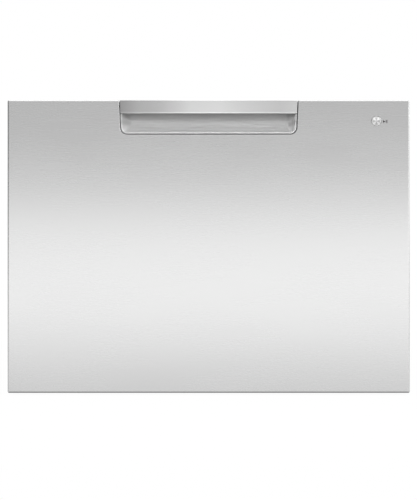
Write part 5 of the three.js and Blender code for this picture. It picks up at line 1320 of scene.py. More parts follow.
@dataclass
class StartControl:
    """The start button with its spring, housing and board."""

    x: float = 249.5
    z: float = 408.7
    face: float = -282.5
    proud: float = 0.6
    collar: tuple[float, float] = (-279.6, -277.6)
    stem_end: float = -267.9
    coil: tuple[float, float] = (-278.4, -270.2)
    coil_radius: float = 5.5
    turns: int = 4
    runs: int = 24  # straight runs in a turn

    def build(self) -> None:
        """Makes the control."""
        front = self.face - self.proud
        dish = [(0, 0.38), (2.2, 0.32), (4.2, 0.18), (5.8, 0.04), (6.4, 0), *arc(6.55, 0.45, 0.45, -90, 0, 4)]
        cap = [(r, front + deep) for r, deep in dish]
        (near, far), end = self.collar, self.stem_end
        stem = [(7.0, near), (9.0, near), (9.0, far), (4.0, far), (4.0, end - 0.3), (3.7, end), (0, end)]
        button = Form().lathe(Axis.Y, cap + stem, (self.x, self.z), 72).mesh_object("start_button_cap")
        fit(shade(button, 30), TURNED_STEEL, "start_button")
        helix = []
        for i, y in enumerate(spread(*self.coil, self.turns * self.runs + 1)):
            a = 2 * math.pi * i / self.runs
            u, v = self.coil_radius * math.cos(a), self.coil_radius * math.sin(a)
            helix.append((self.x + u, y, self.z + v))
        strands("button_spring_coil", [(helix, False)], 0.5, 0.2, SPRING_STEEL, "button_spring")
        refit("control_module", "control_board_and_housing", BOARD, 0.2)


# ---------- The chassis and the runners ----------


@dataclass
class Chassis:
    """The folded steel box round the drawer, with its pan, feet and fixings."""

    half: float = 297.5
    top: float = 434.0
    back: float = 255.5
    foot_x: float = 252.5
    foot_y: tuple[float, float] = (-207.5, 211.5)
    foot_height: float = 4.7
    rear_screw_x: float = 276.0
    rear_screw_z: float = 60.0
    first_screw: tuple[float, float] = (-200.0, 26.0)  # where a row of fixings starts, in Y and Z
    first_weld: tuple[float, float] = (-160.0, 422.0)

    def fixings(self) -> None:
        """Puts screws and spot welds along the folds."""
        for hand in Hand:
            x = hand.value * self.half
            head = screw_head(4.0, 1.6, Axis.X, hand.value)
            grid = [(2, (0, 430, 0)), (2, (0, 0, 380))]
            start = (x, *self.first_screw)
            lattice(hand.node("side_screws"), head, start, grid, SCREW_STEEL, body="chassis")
            dent = [(0, -0.1), (2.6, -0.1), (2.4, 0.12), (1.2, 0.04), (0, 0.05)]
            weld = outwards(Form().lathe(Axis.X, dent, sides=12).mesh_object("weld", 1.0), hand)
            start = (x, *self.first_weld)
            lattice(hand.node("spot_welds"), weld, start, [(8, (0, 50, 0))], ZINC, body="chassis")
        head = screw_head(3.5, 1.5, Axis.Y, 1)
        grid = [(2, (2 * self.rear_screw_x, 0, 0)), (4, (0, 0, 110))]
        start = (-self.rear_screw_x, self.back, self.rear_screw_z)
        lattice("rear_screws", head, start, grid, SCREW_STEEL, body="chassis")

    def feet(self) -> None:
        """Makes the rubber feet with their grooves."""
        top = self.foot_height
        pad = [
            (0, top), (16, top), (16, 3.9), (15.2, 3.6), (15.2, 3.0), (16, 2.7), (16, 0.8), (15.4, 0),
            (11, 0), (10, 0.6), (4, 0.6), (0, 0.6),
        ]
        for hand in Hand:
            for end, y in zip(("front", "rear"), self.foot_y):
                foot = Form().lathe(Axis.Z, pad, (hand.value * self.foot_x, y), 48)
                node = hand.node(f"rubber_foot_{end}")
                fit(shade(foot.mesh_object(f"{node}_pad")), RUBBER, node)

    def build(self) -> None:
        """Makes the whole chassis."""
        refit_pair("chassis_side", "chassis_side_sheet", ZINC, 0.3)
        refit("chassis_top", "chassis_top_sheet", ZINC, 0.3)
        refit("chassis_back", "chassis_back_sheet", ZINC, 0.3)
        refit("base_pan", "base_pan_moulding", PAN_BLACK, 0.4)
        self.feet()
        self.fixings()


@dataclass
class Runners:
    """Telescopic runners and the cradle rails that carry the tub on them."""

    z: float = 85.0
    inner_face: float = 283.1
    first_rivet: float = -213.7

    def build(self) -> None:
        """Makes both sides."""
        for member in ("outer", "middle", "inner"):
            refit_pair(f"runner_{member}", f"runner_{member}_channel", RUNNER_STEEL, 0.35)
        refit_pair("cradle_rail", "cradle_rail_sheet", ZINC, 0.2)
        dome = [(0, -0.2), (3.2, -0.2), (3.0, 0.8), (2.0, 1.3), (0, 1.5)]
        for hand in Hand:
            rivet = outwards(Form().lathe(Axis.X, dome, sides=16).mesh_object("rivet", 1.0), hand)
            start = (hand.value * self.inner_face, self.first_rivet, self.z)
            lattice(hand.node("runner_rivets"), rivet, start, [(5, (0, 100, 0))], SCREW_STEEL, body="drawer")


# ---------- Tub and wash system ----------


@dataclass
class Tub:
    """The moulded tub and the seal on its rim."""

    def build(self) -> None:
        """Makes the tub."""
        refit("tub", "tub_moulding", TUB_WHITE, 1.2)
        refit("tub_seal", "tub_seal_extrusion", RUBBER, 0.3)


@dataclass
class WashSystem:
    """Heater, pump, filter and spray arm."""

    y: float = -6.7
    well_y: float = -116.7
    plate_top: float = 106.7
    plate_r: float = 150.4
    plate: float = 0.9
    sheet_half: float = 150.0  # half the side of the square that the holes are laid out in
    hole: float = 4.2
    pitch: float = 7.0
    arm: tuple[tuple[float, float, float], ...] = (
        (-212, 6, 0.45), (-210.5, 10.5, 0.6), (-206, 15, 0.75), (-180, 18.2, 0.83), (-148.4, 20, 0.9),
        (-105, 21.8, 0.95), (-63.6, 23, 1.0), (-30, 24.4, 1.0), (0, 25, 1.0),
    )  # place along X, half width, and share of the full thickness
    arm_z: float = 126.0
    arm_half: float = 6.0
    last_nozzle: float = 196.0
    winding: tuple[float, float, float] = (44.0, 0.0, 51.5)
    inlet_reach: float = 43.2
    inlet: float = 6.0

    def pump_cover(self) -> None:
        """Makes the cover over the sump with its inlets and post."""
        profile = [
            (6, 97.3), (70, 97.3), (70, 99.6), (69.2, 100.6), (68, 100.8), (60, 100.8), (59, 101.4),
            (55, 101.4), (54, 100.8), (25, 100.8), (22, 101.6), (15, 109.6), (13.6, 110.8), (9.4, 111),
            (9, 111.6), (9, 139.4), (8.2, 140.8), (7.4, 141), (6, 141),
        ]
        piece = Form().lathe(Axis.Z, profile, (0, self.y), 96).mesh_object("pump_cover_moulding")
        slots = Form()
        for i in range(8):
            a = math.radians(22.5 + 45 * i)
            x, y = self.inlet_reach * math.cos(a), self.inlet_reach * math.sin(a)
            bore = [(0, 90), (self.inlet, 90), (self.inlet, 110), (0, 110)]
            slots.lathe(Axis.Z, bore, (x, self.y + y), 24)
        carve(piece, slots)
        fit(soften(piece, 0.3, 2, 50), DARK, "pump_cover")

    def filter_plate(self) -> None:
        """Makes the perforated plate with plain borders."""
        top, y = self.plate_top, self.y
        border = [
            (143, top - 1.3), (143, top - 0.15), (144.5, top), (149, top), (150.2, top - 0.9),
            (self.plate_r, top - 2), (self.plate_r, 97.4), (149, 97.4), (149, top - 2.2), (148, top - 1.5),
        ]
        collar = [(0, -1.5), (0, -0.3), (0.8, 0), (5.5, 0), (7, -0.2), (7, -1.3), (6, -1.5)]
        rings = Form().lathe(Axis.Z, border, (0, y), 120)
        for inner, centre in ((24, y), (33, self.well_y)):
            rings.lathe(Axis.Z, [(inner + r, top + h) for r, h in collar], (0, centre), 72)
        fit(shade(rings.mesh_object("filter_plate_borders"), 40), PERFORATED, "filter_plate")
        fit(self.perforation(), PERFORATED, "filter_plate")

    def perforation(self) -> Object:
        """Makes the field of holes.

        Returns:
            The piece: six-sided tiles with a hole each, kept where the plate has no border.
        """
        side = self.pitch / math.sqrt(3)
        tile = Form()
        turns = [math.radians(a) for a in range(30, 390, 60)]
        outer = [(side * math.cos(a), side * math.sin(a)) for a in turns]
        inner = [(u * self.hole / 2 / side, v * self.hole / 2 / side) for u, v in outer]
        section = ((outer, 0), (inner, 0), (inner, -self.plate), (outer, -self.plate))
        rows = [tile.row([(u, v, h) for u, v in ring]) for ring, h in section]
        for a, b in zip(rows, rows[1:]):
            tile.faces += [[a[i], a[(i + 1) % 6], b[(i + 1) % 6], b[i]] for i in range(6)]
        shape = tile.mesh_object("tile", 1.0)
        row_step = self.pitch * math.sqrt(3)
        count, rows_needed = int(2 * self.sheet_half / self.pitch), int(2 * self.sheet_half / row_step) + 1
        values = {
            "Tile": shape, "Pitch": self.pitch, "Row step": row_step, "Columns": count, "Rows": rows_needed,
            "Outer reach": 146.0, "Hub": 28.0, "Well": 36.5, "Well offset": self.well_y - self.y,
            "Centre": Vector((0, self.y, self.plate_top - 0.35)),
        }
        pattern = Pattern("Perforated sheet", values)
        given = pattern.given
        across = pattern.add("ShaderNodeCombineXYZ", {0: given["Pitch"]})
        along = pattern.add("ShaderNodeCombineXYZ", {1: given["Row step"]})
        both = pattern.add("GeometryNodeJoinGeometry")
        for shift in (0.0, 0.5):
            start = ((shift - count / 2) * self.pitch, (shift - rows_needed / 2) * row_step, 0)
            line = {"Count": given["Columns"], "Offset": across, "Start Location": start}
            first = pattern.add("GeometryNodeMeshLine", line)
            second = pattern.add("GeometryNodeMeshLine", {"Count": given["Rows"], "Offset": along})
            grid = pattern.add("GeometryNodeInstanceOnPoints", {"Points": first, "Instance": second})
            pattern.tree.links.new(grid.outputs[0], both.inputs[0])
        points = pattern.add("GeometryNodeRealizeInstances", {"Geometry": both})
        place = pattern.add("GeometryNodeInputPosition")
        reach = pattern.add("ShaderNodeVectorMath", {0: place}, operation="LENGTH")
        offset = pattern.add("ShaderNodeCombineXYZ", {1: given["Well offset"]})
        to_well = pattern.add("ShaderNodeVectorMath", {0: place, 1: offset}, operation="DISTANCE")
        far, near = reach.outputs["Value"], to_well.outputs["Value"]
        outside = pattern.add("ShaderNodeMath", {0: far, 1: given["Outer reach"]}, operation="GREATER_THAN")
        in_hub = pattern.add("ShaderNodeMath", {0: far, 1: given["Hub"]}, operation="LESS_THAN")
        in_well = pattern.add("ShaderNodeMath", {0: near, 1: given["Well"]}, operation="LESS_THAN")
        some = pattern.add("ShaderNodeMath", {0: outside, 1: in_hub}, operation="MAXIMUM")
        any_of = pattern.add("ShaderNodeMath", {0: some, 1: in_well}, operation="MAXIMUM")
        kept = pattern.add(
            "GeometryNodeDeleteGeometry", {"Geometry": points, "Selection": any_of}, domain="POINT"
        )
        single = pattern.add("GeometryNodeObjectInfo", {"Object": given["Tile"]})
        tiles = pattern.add(
            "GeometryNodeInstanceOnPoints", {"Points": kept, "Instance": single.outputs["Geometry"]}
        )
        placed = pattern.add("GeometryNodeTransform", {"Geometry": tiles, "Translation": given["Centre"]})
        made = pattern.make("filter_plate_perforation", placed, PERFORATED)
        bpy.data.objects.remove(shape)
        return made

    def filter_cup(self) -> None:
        """Makes the twist-out cup: a flange, a floor and upright bars between them."""
        y = self.well_y
        flange = [
            (31, 103), (32.6, 103), (32.6, 106.9), (36.4, 106.9), (37, 107.4), (36.6, 108.3), (35.6, 108.6),
            (31, 108.6),
        ]
        floor = [(0, 75), (31.4, 75), (32.6, 76), (32.6, 80), (31, 80), (31, 77), (0, 77)]
        hoops = [[(31, z), (32.6, z), (32.6, z + 1.6), (31, z + 1.6)] for z in (87.0, 95.0)]
        cup = Form()
        for profile in (flange, floor, *hoops):
            cup.lathe(Axis.Z, profile, (0, y), 64)
        right = [(20, 116), (27, 112), (31.6, 107), (31.6, 104), (26, 104), (22, 108)]
        cup.prism(Axis.Y, right + [(-u, v) for u, v in reversed(right)], y - 3, y + 3)
        fit(soften(cup.mesh_object("filter_cup_moulding"), 0.3, 2, 40), DARK, "filter_cup")
        bar = Form().block((31.0, -1.1, 78), (32.5, 1.1, 104)).mesh_object("bar", 1.0)
        circle_of("filter_cup_bars", bar, 40, (0, y, 0), DARK, "filter_cup")

    def spray_arm(self) -> None:
        """Makes the arm with its rounded back, hub and nozzles."""
        rings = []
        for x, half, fill in (*self.arm, *((-x, w, f) for x, w, f in self.arm[-2::-1])):
            ring = []
            for i in range(32):
                a = 2 * math.pi * i / 32
                c, s = math.cos(a), math.sin(a)
                u = half * math.copysign(abs(c) ** 0.75, c)
                v = self.arm_half * fill * math.copysign(abs(s) ** 0.6, s)
                ring.append((x, self.y + u, self.arm_z + v))
            rings.append(ring)
        arm = Form().skin(rings).mesh_object("spray_arm_moulding")
        hub = [
            (9.4, 111.3), (15.5, 111.3), (16.5, 112), (16.9, 114), (16.9, 134), (16, 140), (13.6, 143.2),
            (10, 144), (5, 144), (0, 144), (0, 111.3),
        ]
        bore = [(0, 105), (9.4, 105), (9.4, 142.2), (0, 142.2)]
        carve(arm, Form().lathe(Axis.Z, hub, (0, self.y), 64), joined=True)
        carve(arm, Form().lathe(Axis.Z, bore, (0, self.y), 48))
        fit(shade(arm, 40), DARK, "spray_arm")
        jet = [(0, -2), (6.2, -2), (5.4, 0.5), (4.2, 1.5), (2.2, 1.6), (1.9, 0.4), (0, 0.3)]
        for hand, step in ((Hand.LEFT, (34, 1.2, 0)), (Hand.RIGHT, (-38, -1.2, 0))):
            nozzle = Form().lathe(Axis.Z, jet, sides=24).mesh_object("nozzle", 1.0)
            start = (hand.value * self.last_nozzle, self.y, self.arm_z + 5.0)
            lattice(hand.node("spray_nozzles"), nozzle, start, [(5, step)], DARK, body="spray_arm")

    def motor(self) -> None:
        """Makes the motor under the sump."""
        refit("motor_housing", "motor_housing_moulding", DARK, 0.6)
        refit("motor_stator", "motor_stator_stack", STACK, 0.3)
        coil = Form().prism(Axis.Z, rounded(6, 8, 3, 4), 0, 8).mesh_object("coil", 1.0)
        coil.data.transform(Matrix.Translation(self.winding))
        circle_of("stator_windings", coil, 9, (0, self.y, 0), COPPER, body="drawer")
        refit("wash_rotor", "wash_rotor_and_impeller", DARK, 0.4)

    def build(self) -> None:
        """Makes the whole wash system."""
        refit("heating_element", "heating_element_tube", HEATER_STEEL, 0.5)
        self.pump_cover()
        self.filter_plate()
        self.filter_cup()
        self.spray_arm()
        self.motor()


@dataclass
class Drainage:
    """Drain pump, hoses and the block that joins them."""

    drain_route: tuple[tuple[float, float, float], ...] = (
        (44.3, -116.7, 59.7), (52.3, -116.7, 59.7), (64.3, -116.7, 59.7), (119.3, -91.7, 57.7),
        (175, -6.7, 51.7), (203, 92.7, 39), (205, 158.7, 33), (205, 172.7, 33), (205, 182.7, 33),
    )
    block: tuple[float, float] = (205.0, 196.0)
    service_route: tuple[tuple[float, float, float], ...] = (
        (-215, 248.2, 42), (-215, 240.2, 42), (-215, 230.2, 42), (-205, 200.2, 27.6), (-163, 176.2, 20.6),
        (-105, 182.2, 19.6), (-45, 208.2, 19.6), (20, 218.2, 19.6), (85, 198.2, 20.6), (118.7, 202, 25),
        (164.7, 196, 33), (178.7, 196, 33), (188.7, 196, 33),
    )

    def build(self) -> None:
        """Makes the drain."""
        refit("drain_pump", "drain_pump_moulding", DARK, 0.5)
        x, y = self.block
        block = Form().skin([[(x + u, y + v, z) for u, v in rounded(16, 13, 3, 4)] for z in (19, 47)])
        plate = [[(x + u, y + v, z) for u, v in rounded(16, 10, 2, 4)] for z in (100.7, 103.7)]
        moulding = block.mesh_object("hose_block_moulding")
        carve(moulding, Form().block((x - 12, y - 3, 33), (x + 12, y + 3, 102.2)).skin(plate), joined=True)
        fit(soften(moulding, 0.8, 2, 50), DARK, "drain_hose")
        drain = ribbed_hose("drain_hose_tube", curve_through(list(self.drain_route)), 8.9, 5.0, RUBBER)
        fit(drain, RUBBER, "drain_hose")
        service = ribbed_hose("service_hose_tube", curve_through(list(self.service_route)), 10.9, 5.5, RUBBER)
        service.data.materials.clear()
        service.data.materials.append(RUBBER.material())
        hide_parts("service_hose")
        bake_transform(service)
        LOG.info("service_hose_tube bends between chassis and drawer")


# ---------- Dispenser, basket and lid ----------


@dataclass
class Dispenser:
    """The detergent and rinse aid dispenser on the tub's front wall."""

    cap: tuple[float, float] = (2.0, 270.0)
    cap_seat: float = -210.3
    grip_top: float = -207.8
    first_rib: tuple[float, float, float] = (-133.0, -208.4, 270.0)

    def build(self) -> None:
        """Makes the dispenser."""
        refit("dispenser_body", "dispenser_body_moulding", TUB_WHITE, 0.4)
        refit("dispenser_cover", "dispenser_cover_moulding", DARK, 0.6)
        rib = Form().block((-0.7, -0.1, -22), (0.7, 0.55, 22)).mesh_object("rib", 1.0)
        lattice("dispenser_cover_ribs", rib, self.first_rib, [(5, (4.5, 0, 0))], DARK, body="dispenser_cover")
        face = self.cap_seat
        profile = [
            (0, face - 10), (12.6, face - 10), (12.6, face - 0.2), (17, face - 0.2), (17, face + 1.0),
            (16.2, face + 1.9), (15, face + 2.2), (0, face + 2.2),
        ]
        x, z = self.cap
        cap = Form().lathe(Axis.Y, profile, self.cap, 64)
        cap.block((x - 14, face + 1.5, z - 2), (x + 14, self.grip_top, z + 2))
        fit(soften(cap.mesh_object("rinse_cap_moulding"), 0.4, 2, 40), BLUE, "rinse_cap")


@dataclass
class DishRacks:
    """The wire basket with its folding tines and shelves, and the cutlery basket."""

    thick: float = 1.85  # the wires' radii
    thin: float = 1.55
    rod: float = 1.95
    half: tuple[float, float] = (242.0, 192.0)
    lean: float = 8.0
    y: float = -2.0
    floor: float = 152.0
    upper: float = 155.37
    rim: float = 340.0
    corner: float = 12.0
    tine_x: float = 75.0
    tine_z: float = 159.74
    bar_z: float = 159.2
    clip_top: float = 160.9
    clip_half: float = 4.7
    clip_bore: float = 2.25
    clip_wide: float = 4.0
    shelf_z: float = 275.0
    shelf: tuple[float, float] = (148.0, 240.0)
    cutlery: tuple[float, float, float] = (165.0, -151.0, 157.44)
    across: list[float] = field(default_factory=lambda: spread(-226, 226, 9))
    first_tine: float = -172.0
    pitch: float = 38.0
    foot_x: float = 197.75
    foot: tuple[float, float] = (109.3, 216.0)

    def grid(self, number: float) -> float:
        """Gives the place of a tine along Y."""
        return self.first_tine + self.pitch * number

    def reach(self, z: float) -> tuple[float, float]:
        """Gives half the basket's length and depth at a height."""
        out = self.lean * (z - self.floor) / (self.rim - self.floor)
        return self.half[0] + out, self.half[1] + out

    def basket(self) -> None:
        """Makes the basket of bent wires with its rim and feet."""
        low, high = self.reach(self.floor), self.reach(self.rim)
        out = 1.6
        paths: list[Wire] = []
        for x in self.across:
            ends = (-high[1] - out, -low[1] - out, low[1] + out, high[1] + out)
            heights = (self.rim, self.floor, self.floor, self.rim)
            paths.append(([(x, self.y + v, z) for v, z in zip(ends, heights)], False))
        for number in (0.5, 2.5, 4.5, 6.5, 8.5):
            v = self.grid(number)
            ends = (-high[0] - out, -low[0] - out, low[0] + out, high[0] + out)
            heights = (self.rim, self.upper, self.upper, self.rim)
            paths.append(([(u, v, z) for u, z in zip(ends, heights)], False))
        for z in spread(self.upper - 1, self.rim, 4):
            half_x, half_y = self.reach(z)
            outline = rounded(half_x, half_y, self.corner, 6)
            paths.append(([(u, self.y + v, z) for u, v in outline], True))
        sides = ("basket_floor", "basket_front", "basket_rear", "basket_side_right", "basket_side_left")
        strands("basket_wires", paths, self.thick, 9, WIRE, *sides)
        feet: list[Wire] = []
        low, high = self.foot
        for side in (-1, 1):
            y = self.y + side * (self.reach(self.upper)[1] + 3.8)
            for x in (-self.foot_x, self.foot_x):
                feet.append(([(x - 8, y, high), (x - 8, y, low), (x + 8, y, low), (x + 8, y, high)], False))
        strands("basket_feet", feet, self.thick, 7, WIRE, body="drawer")
        bar = [([(0, self.grid(0.6), self.bar_z), (0, self.grid(8.4), self.bar_z)], False)]
        strands("short_tine_bar", bar, self.thick, 2, WIRE, "tine_comb")
        start = (0, self.grid(1), self.upper)
        lattice("short_tines", self.tine_shape(42), start, [(8, (0, self.pitch, 0))], WIRE, "tine_comb")

    def tine_shape(self, height: float) -> Object:
        """Makes one upright tine with a round tip, in millimetres."""
        tip = arc(0, height - 1.5, 1.5, 0, 90, 4)
        return Form().lathe(Axis.Z, [(0, -0.5), (1.7, -0.5), *tip], sides=12).mesh_object("tine", 1.0)

    def clips(self) -> None:
        """Makes the clips that the folding parts turn in."""
        block = Form()
        low, top, bore = self.floor - 1, self.clip_top, self.clip_bore
        for number in (2.5, 6.5):
            v = self.grid(number)
            ends = (v - self.clip_wide, v + self.clip_wide)
            ring = [(bore, ends[0]), (self.clip_half, ends[0]), (self.clip_half, ends[1]), (bore, ends[1])]
            for sign in (-1, 1):
                block.lathe(Axis.Y, ring, (sign * self.shelf[1], self.shelf_z), 32)
                base = sign * self.tine_x
                left, right = base - self.clip_half, base + self.clip_half
                cradle = [(left, top), (left, low), (right, low), (right, top), (base - bore, top)]
                hollow = arc(base, self.tine_z, bore, -180, 0, 12)
                block.prism(Axis.Y, [*cradle, *hollow, (base + bore, top)], *ends)
                near, far = sorted((sign * (self.shelf[1] + 3), sign * 249.5))
                block.block((near, v - 3, self.shelf_z - 3), (far, v + 3, self.shelf_z + 3))
        fit(soften(block.mesh_object("rod_clips"), 0.5, 2, 40), DARK, body="drawer")

    def tines(self, hand: Hand, first: int, last: int) -> None:
        """Makes a row of folding tines on its rod.

        Args:
            hand: The side.
            first: The number of the first tine.
            last: The number of the last one.
        """
        x = hand.value * self.tine_x
        ends = [(x, self.grid(first) - 12, self.tine_z), (x, self.grid(last) + 12, self.tine_z)]
        strands(hand.node("tine_rod"), [(ends, False)], self.rod, 2, WIRE, hand.node("tine_row"))
        start = (x, self.grid(first), self.tine_z)
        row = [(last - first + 1, (0, self.pitch, 0))]
        lattice(hand.node("tines"), self.tine_shape(80), start, row, WIRE, hand.node("tine_row"))

    def shelves(self, hand: Hand) -> None:
        """Makes a folding cup shelf.

        Args:
            hand: The side.
        """
        inner, hinge = (hand.value * v for v in self.shelf)
        near, far = self.grid(0.5), self.grid(8.5)
        z, lifted = self.shelf_z, self.shelf_z + 0.7
        outline = [(hinge, near, z), (inner, near, z), (inner, far, z), (hinge, far, z)]
        bars = [([(inner, self.grid(i), lifted), (hinge, self.grid(i), lifted)], False) for i in range(1, 9)]
        shelf = hand.node("cup_shelf")
        strands(hand.node("cup_shelf_wires"), [(outline, True)], self.rod, 7, WIRE, shelf)
        strands(hand.node("cup_shelf_bars"), bars, self.thin, 2, WIRE, shelf)

    def cutlery_basket(self) -> None:
        """Makes the slotted cutlery basket with its four cells."""
        x, y, low = self.cutlery
        high, levels = low + 92, (low + 8, low + 35, low + 62)
        rings = []
        for inset, z in ((5, low + 2), (2, high), (1.2, high), (0.2, high), (0, high - 4), (3, low)):
            rings.append([(x + u, y + v, z) for u, v in rounded(70 - inset, 31 - inset, 6, 5)])
        made = Form().skin(rings).mesh_object("cutlery_basket_moulding")
        walls = Form().block((x - 67.4, y - 0.9, low + 1), (x + 67.4, y + 0.9, high - 8))
        walls.block((x - 0.9, y - 28.4, low + 1.2), (x + 0.9, y + 28.4, high - 12))
        carve(made, walls, joined=True)
        slots = Form()
        for u in (*spread(-57, -9, 7), *spread(9, 57, 7)):
            for z in levels:
                slots.block((x + u - 2.4, y - 40, z), (x + u + 2.4, y + 40, z + 21))
        carve(made, slots)
        side = Form()
        for v in (-21, -13, 13, 21):
            for z in levels:
                side.block((x - 80, y + v - 2.4, z), (x + 80, y + v + 2.4, z + 21))
        carve(made, side)
        holes = Form()
        for u in spread(-57, 57, 15):
            for v in (-20, -10, 10, 20):
                if abs(u) > 4:
                    holes.block((x + u - 2.2, y + v - 3, low - 3), (x + u + 2.2, y + v + 3, low + 5))
        carve(made, holes)
        fit(soften(made, 0.35, 1, 40), DARK, "cutlery_basket")

    def build(self) -> None:
        """Makes everything that holds dishes."""
        self.basket()
        self.clips()
        self.tines(Hand.LEFT, 0, 9)
        self.tines(Hand.RIGHT, 2, 9)
        for hand in Hand:
            self.shelves(hand)
        self.cutlery_basket()


@dataclass
class LidDrive:
    """The lid and the geared motors that lower it onto the tub."""

    def build(self) -> None:
        """Makes the lid and its drives."""
        refit("lid_panel", "lid_moulding", LID_WHITE, 0.8)
        refit_pair("lid_motor", "lid_motor_moulding", DARK, 0.5)
        refit_pair("lid_pinion", "lid_pinion_gear", GEAR, 0.15)


@dataclass
class RearFittings:
    """Drain spigot, inlet valve and terminal box on the back panel."""

    spigot: tuple[float, float] = (-215.0, 42.0)
    valve: tuple[float, float] = (120.0, 48.0)
    terminal: tuple[float, float] = (215.0, 60.0)
    terminal_face: float = 282.4
    thread_start: float = 274.5

    def build(self) -> None:
        """Makes the fittings."""
        barbs = [p for y in (262.0, 267.0, 272.0, 277.0) for p in ((8.2, y), (9.0, y + 3.6), (8.2, y + 3.9))]
        profile = [
            (7, 248.5), (8.8, 248.5), (9, 249), (9, 255.8), (19, 255.8), (19, 257.6), (18, 258.8),
            (10.5, 258.8), (9, 260.5), *barbs, (8.4, 285), (8, 285.5), (7, 285.5),
        ]
        spigot = Form().lathe(Axis.Y, profile, self.spigot, 64)
        fit(soften(spigot.mesh_object("drain_spigot_moulding"), 0.2, 2, 50), DARK, "drain_spigot")
        refit("inlet_valve", "inlet_valve_moulding", TUB_WHITE, 0.4)
        ridge = [(12.6, 0), (13.0, 0.5), (12.6, 1.0), (12.2, 1.0), (12.2, 0)]
        turn = Form().lathe(Axis.Y, ridge, self.valve, 48).mesh_object("thread", 1.0)
        turns = [(6, (0, 1.7, 0))]
        lattice("inlet_thread", turn, (0, self.thread_start, 0), turns, TUB_WHITE, body="chassis")
        refit("terminal_box", "terminal_box_moulding", DARK, 0.8)
        x, z = self.terminal
        start = (x - 35, self.terminal_face, z - 21)
        grid = [(2, (70, 0, 0)), (2, (0, 0, 42))]
        head = screw_head(3.0, 1.2, Axis.Y, 1)
        lattice("terminal_box_screws", head, start, grid, SCREW_STEEL, body="chassis")


# ---------- Studio ----------


def seen_directly(tree: NodeTree, rays: Node) -> Node:
    """Gives 1 to what the eye, a mirror or glass sees, and 0 to light that falls on a surface.

    Args:
        tree: The tree.
        rays: Its light path node.

    Returns:
        The node that gives it.
    """
    seen = rays.outputs["Is Camera Ray"]
    for other in ("Is Glossy Ray", "Is Transmission Ray"):
        seen = add_node(tree, "ShaderNodeMath", {0: seen, 1: rays.outputs[other]}, operation="MAXIMUM")
    return seen


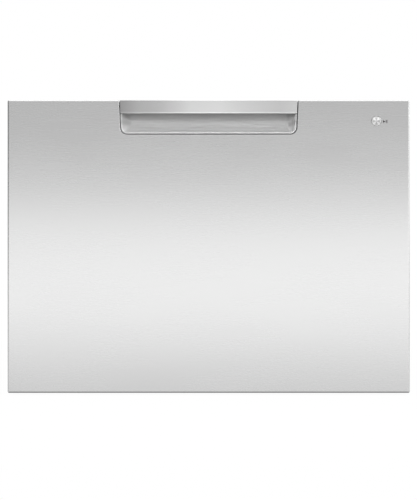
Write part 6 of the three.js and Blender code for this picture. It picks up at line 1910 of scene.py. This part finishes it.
@dataclass
class Studio:
    """A plain white room with soft lamps and the photograph's camera. Lengths are in metres."""

    distance: float = 3.0
    front_y: float = -0.2825
    width_of_frame: float = 0.744  # what the long side of the picture spans at the front
    sensor: float = 36.0
    centre: tuple[float, float] = (-0.0003, 0.2169)
    ambient: float = 0.42  # the light that falls on the object from all sides
    left: Ramp = (-0.95, -0.4, 0.25, 1.0)  # what metal sees of the room, by its direction along X
    right: Ramp = (0.2, 0.95, 1.0, 2.0)
    above: Ramp = (0.3, 0.8, 1.0, 1.35)  # the same along Z
    floor_fade: Ramp = (0.5, 1.3, 0.98, 1.0)  # the floor's white, by the distance from the middle
    floor_shine: Ramp = (0.003, 0.015, 0.38, 1.3)  # its glow in metal, by the distance from it
    floor_half: float = 30.0

    def camera(self) -> None:
        """Sets the camera square to the front."""
        data = bpy.data.cameras.new("camera")
        data.sensor_width = self.sensor
        data.lens = self.sensor * self.distance / self.width_of_frame
        camera = bpy.data.objects.new("camera", data)
        camera.location = (self.centre[0], self.front_y - self.distance, self.centre[1])
        camera.rotation_euler = (math.radians(90), 0, 0)
        bpy.context.scene.collection.objects.link(camera)
        bpy.context.scene.camera = camera

    def lamp(
        self, name: str, place: Sequence[float], target: Sequence[float], size: tuple[float, float],
        power: float, mirrored: bool = True,
    ) -> None:
        """Adds a soft box that lights a target.

        Args:
            name: The lamp's name.
            place: Where it hangs, in metres.
            target: What it points at.
            size: Its width and height.
            power: Its power in watts.
            mirrored: Whether metal shows its reflection.
        """
        data = bpy.data.lights.new(name, "AREA")
        data.shape = "RECTANGLE"
        data.size, data.size_y = size
        data.energy = power
        lamp = bpy.data.objects.new(name, data)
        lamp.location = place
        lamp.rotation_euler = (Vector(target) - Vector(place)).to_track_quat("-Z", "Y").to_euler()
        lamp.visible_camera = False
        lamp.visible_glossy = mirrored
        bpy.context.scene.collection.objects.link(lamp)

    def world(self) -> None:
        """Makes the surroundings white to the eye and to metal, and a soft grey as light."""
        world = bpy.data.worlds.new("studio_room")
        bpy.context.scene.world = world
        world.use_nodes = True
        tree = world.node_tree
        tree.nodes.clear()
        rays = add_node(tree, "ShaderNodeLightPath")
        place = add_node(tree, "ShaderNodeTexCoord")
        side = add_node(tree, "ShaderNodeSeparateXYZ", {0: place.outputs["Object"]})
        left = add_node(tree, "ShaderNodeMapRange", between(side.outputs[0], self.left))
        right = add_node(tree, "ShaderNodeMapRange", between(side.outputs[0], self.right))
        above = add_node(tree, "ShaderNodeMapRange", between(side.outputs[2], self.above))
        walls = add_node(tree, "ShaderNodeMath", {0: left, 1: right}, operation="MULTIPLY")
        room = add_node(tree, "ShaderNodeMath", {0: walls, 1: above}, operation="MULTIPLY")
        mirror = add_node(tree, "ShaderNodeMapRange", {0: rays.outputs["Is Camera Ray"], 3: room, 4: 1.0})
        seen = seen_directly(tree, rays)
        level = add_node(tree, "ShaderNodeMapRange", {0: seen, 1: 0.0, 2: 1.0, 3: self.ambient, 4: mirror})
        white = add_node(tree, "ShaderNodeBackground", {"Color": (1, 1, 1, 1), "Strength": level})
        add_node(tree, "ShaderNodeOutputWorld", {0: white})

    def floor(self) -> None:
        """Lays a white floor that keeps the shadow."""
        ground = Form()
        far = self.floor_half / MM
        ground.faces.append(ground.row([(-far, -far, 0), (far, -far, 0), (far, far, 0), (-far, far, 0)]))
        floor = ground.mesh_object("floor")
        paint = bpy.data.materials.new("white_floor_paint")
        paint.use_nodes = True
        tree = paint.node_tree
        tree.nodes.clear()
        rays = add_node(tree, "ShaderNodeLightPath")
        eye = rays.outputs["Is Camera Ray"]
        place = add_node(tree, "ShaderNodeTexCoord")
        reach = add_node(tree, "ShaderNodeVectorMath", {0: place.outputs["Object"]}, operation="LENGTH")
        level = add_node(tree, "ShaderNodeMapRange", between(reach.outputs["Value"], self.floor_fade))
        near = add_node(tree, "ShaderNodeMapRange", between(rays.outputs["Ray Length"], self.floor_shine))
        glowing = add_node(tree, "ShaderNodeMapRange", {0: eye, 3: 1.0, 4: level})
        shine = add_node(tree, "ShaderNodeMapRange", {0: eye, 3: near, 4: 1.0})
        seen = seen_directly(tree, rays)
        share = add_node(tree, "ShaderNodeMath", {0: seen, 1: glowing}, operation="MULTIPLY")
        matt = add_node(tree, "ShaderNodeBsdfDiffuse", {"Color": (0.95, 0.95, 0.95, 1)})
        glow = add_node(tree, "ShaderNodeEmission", {"Color": (1, 1, 1, 1), "Strength": shine})
        both = add_node(tree, "ShaderNodeMixShader", {0: share, 1: matt, 2: glow})
        add_node(tree, "ShaderNodeOutputMaterial", {0: both})
        floor.data.materials.append(paint)

    def build(self) -> None:
        """Makes the studio."""
        self.camera()
        self.world()
        self.floor()
        self.lamp("strip_in_front", (0, -1.5, 0.09), (0, 0, 0.09), (4.0, 0.46), 6.1)
        self.lamp("box_above_the_camera", (0.1, -2.5, 1.22), (0, -0.28, 0.4), (0.7, 0.4), 36.0, False)
        self.lamp("key_from_the_right", (2.2, -1.0, 1.2), (0, 0, 0.2), (1.0, 1.0), 20.0)
        self.lamp("fill_from_the_left", (-2.2, -0.9, 1.4), (0, 0, 0.2), (1.2, 1.2), 8.0, False)
        self.lamp("soft_box_above", (0, 0.3, 2.6), (0, 0, 0), (1.8, 1.8), 18.0)
        bpy.context.scene.view_settings.view_transform = "Standard"


def main() -> None:
    """Builds the scene."""
    logging.basicConfig(level=logging.INFO, format="%(message)s")
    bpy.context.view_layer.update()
    parts = (
        Studio(), DrawerFront(), StartControl(), Chassis(), Runners(), Tub(), WashSystem(), Drainage(),
        Dispenser(),
        DishRacks(), LidDrive(), RearFittings(),
    )
    for part in parts:
        LOG.info("%s", type(part).__name__)
        part.build()


if __name__ == "__main__":
    main()
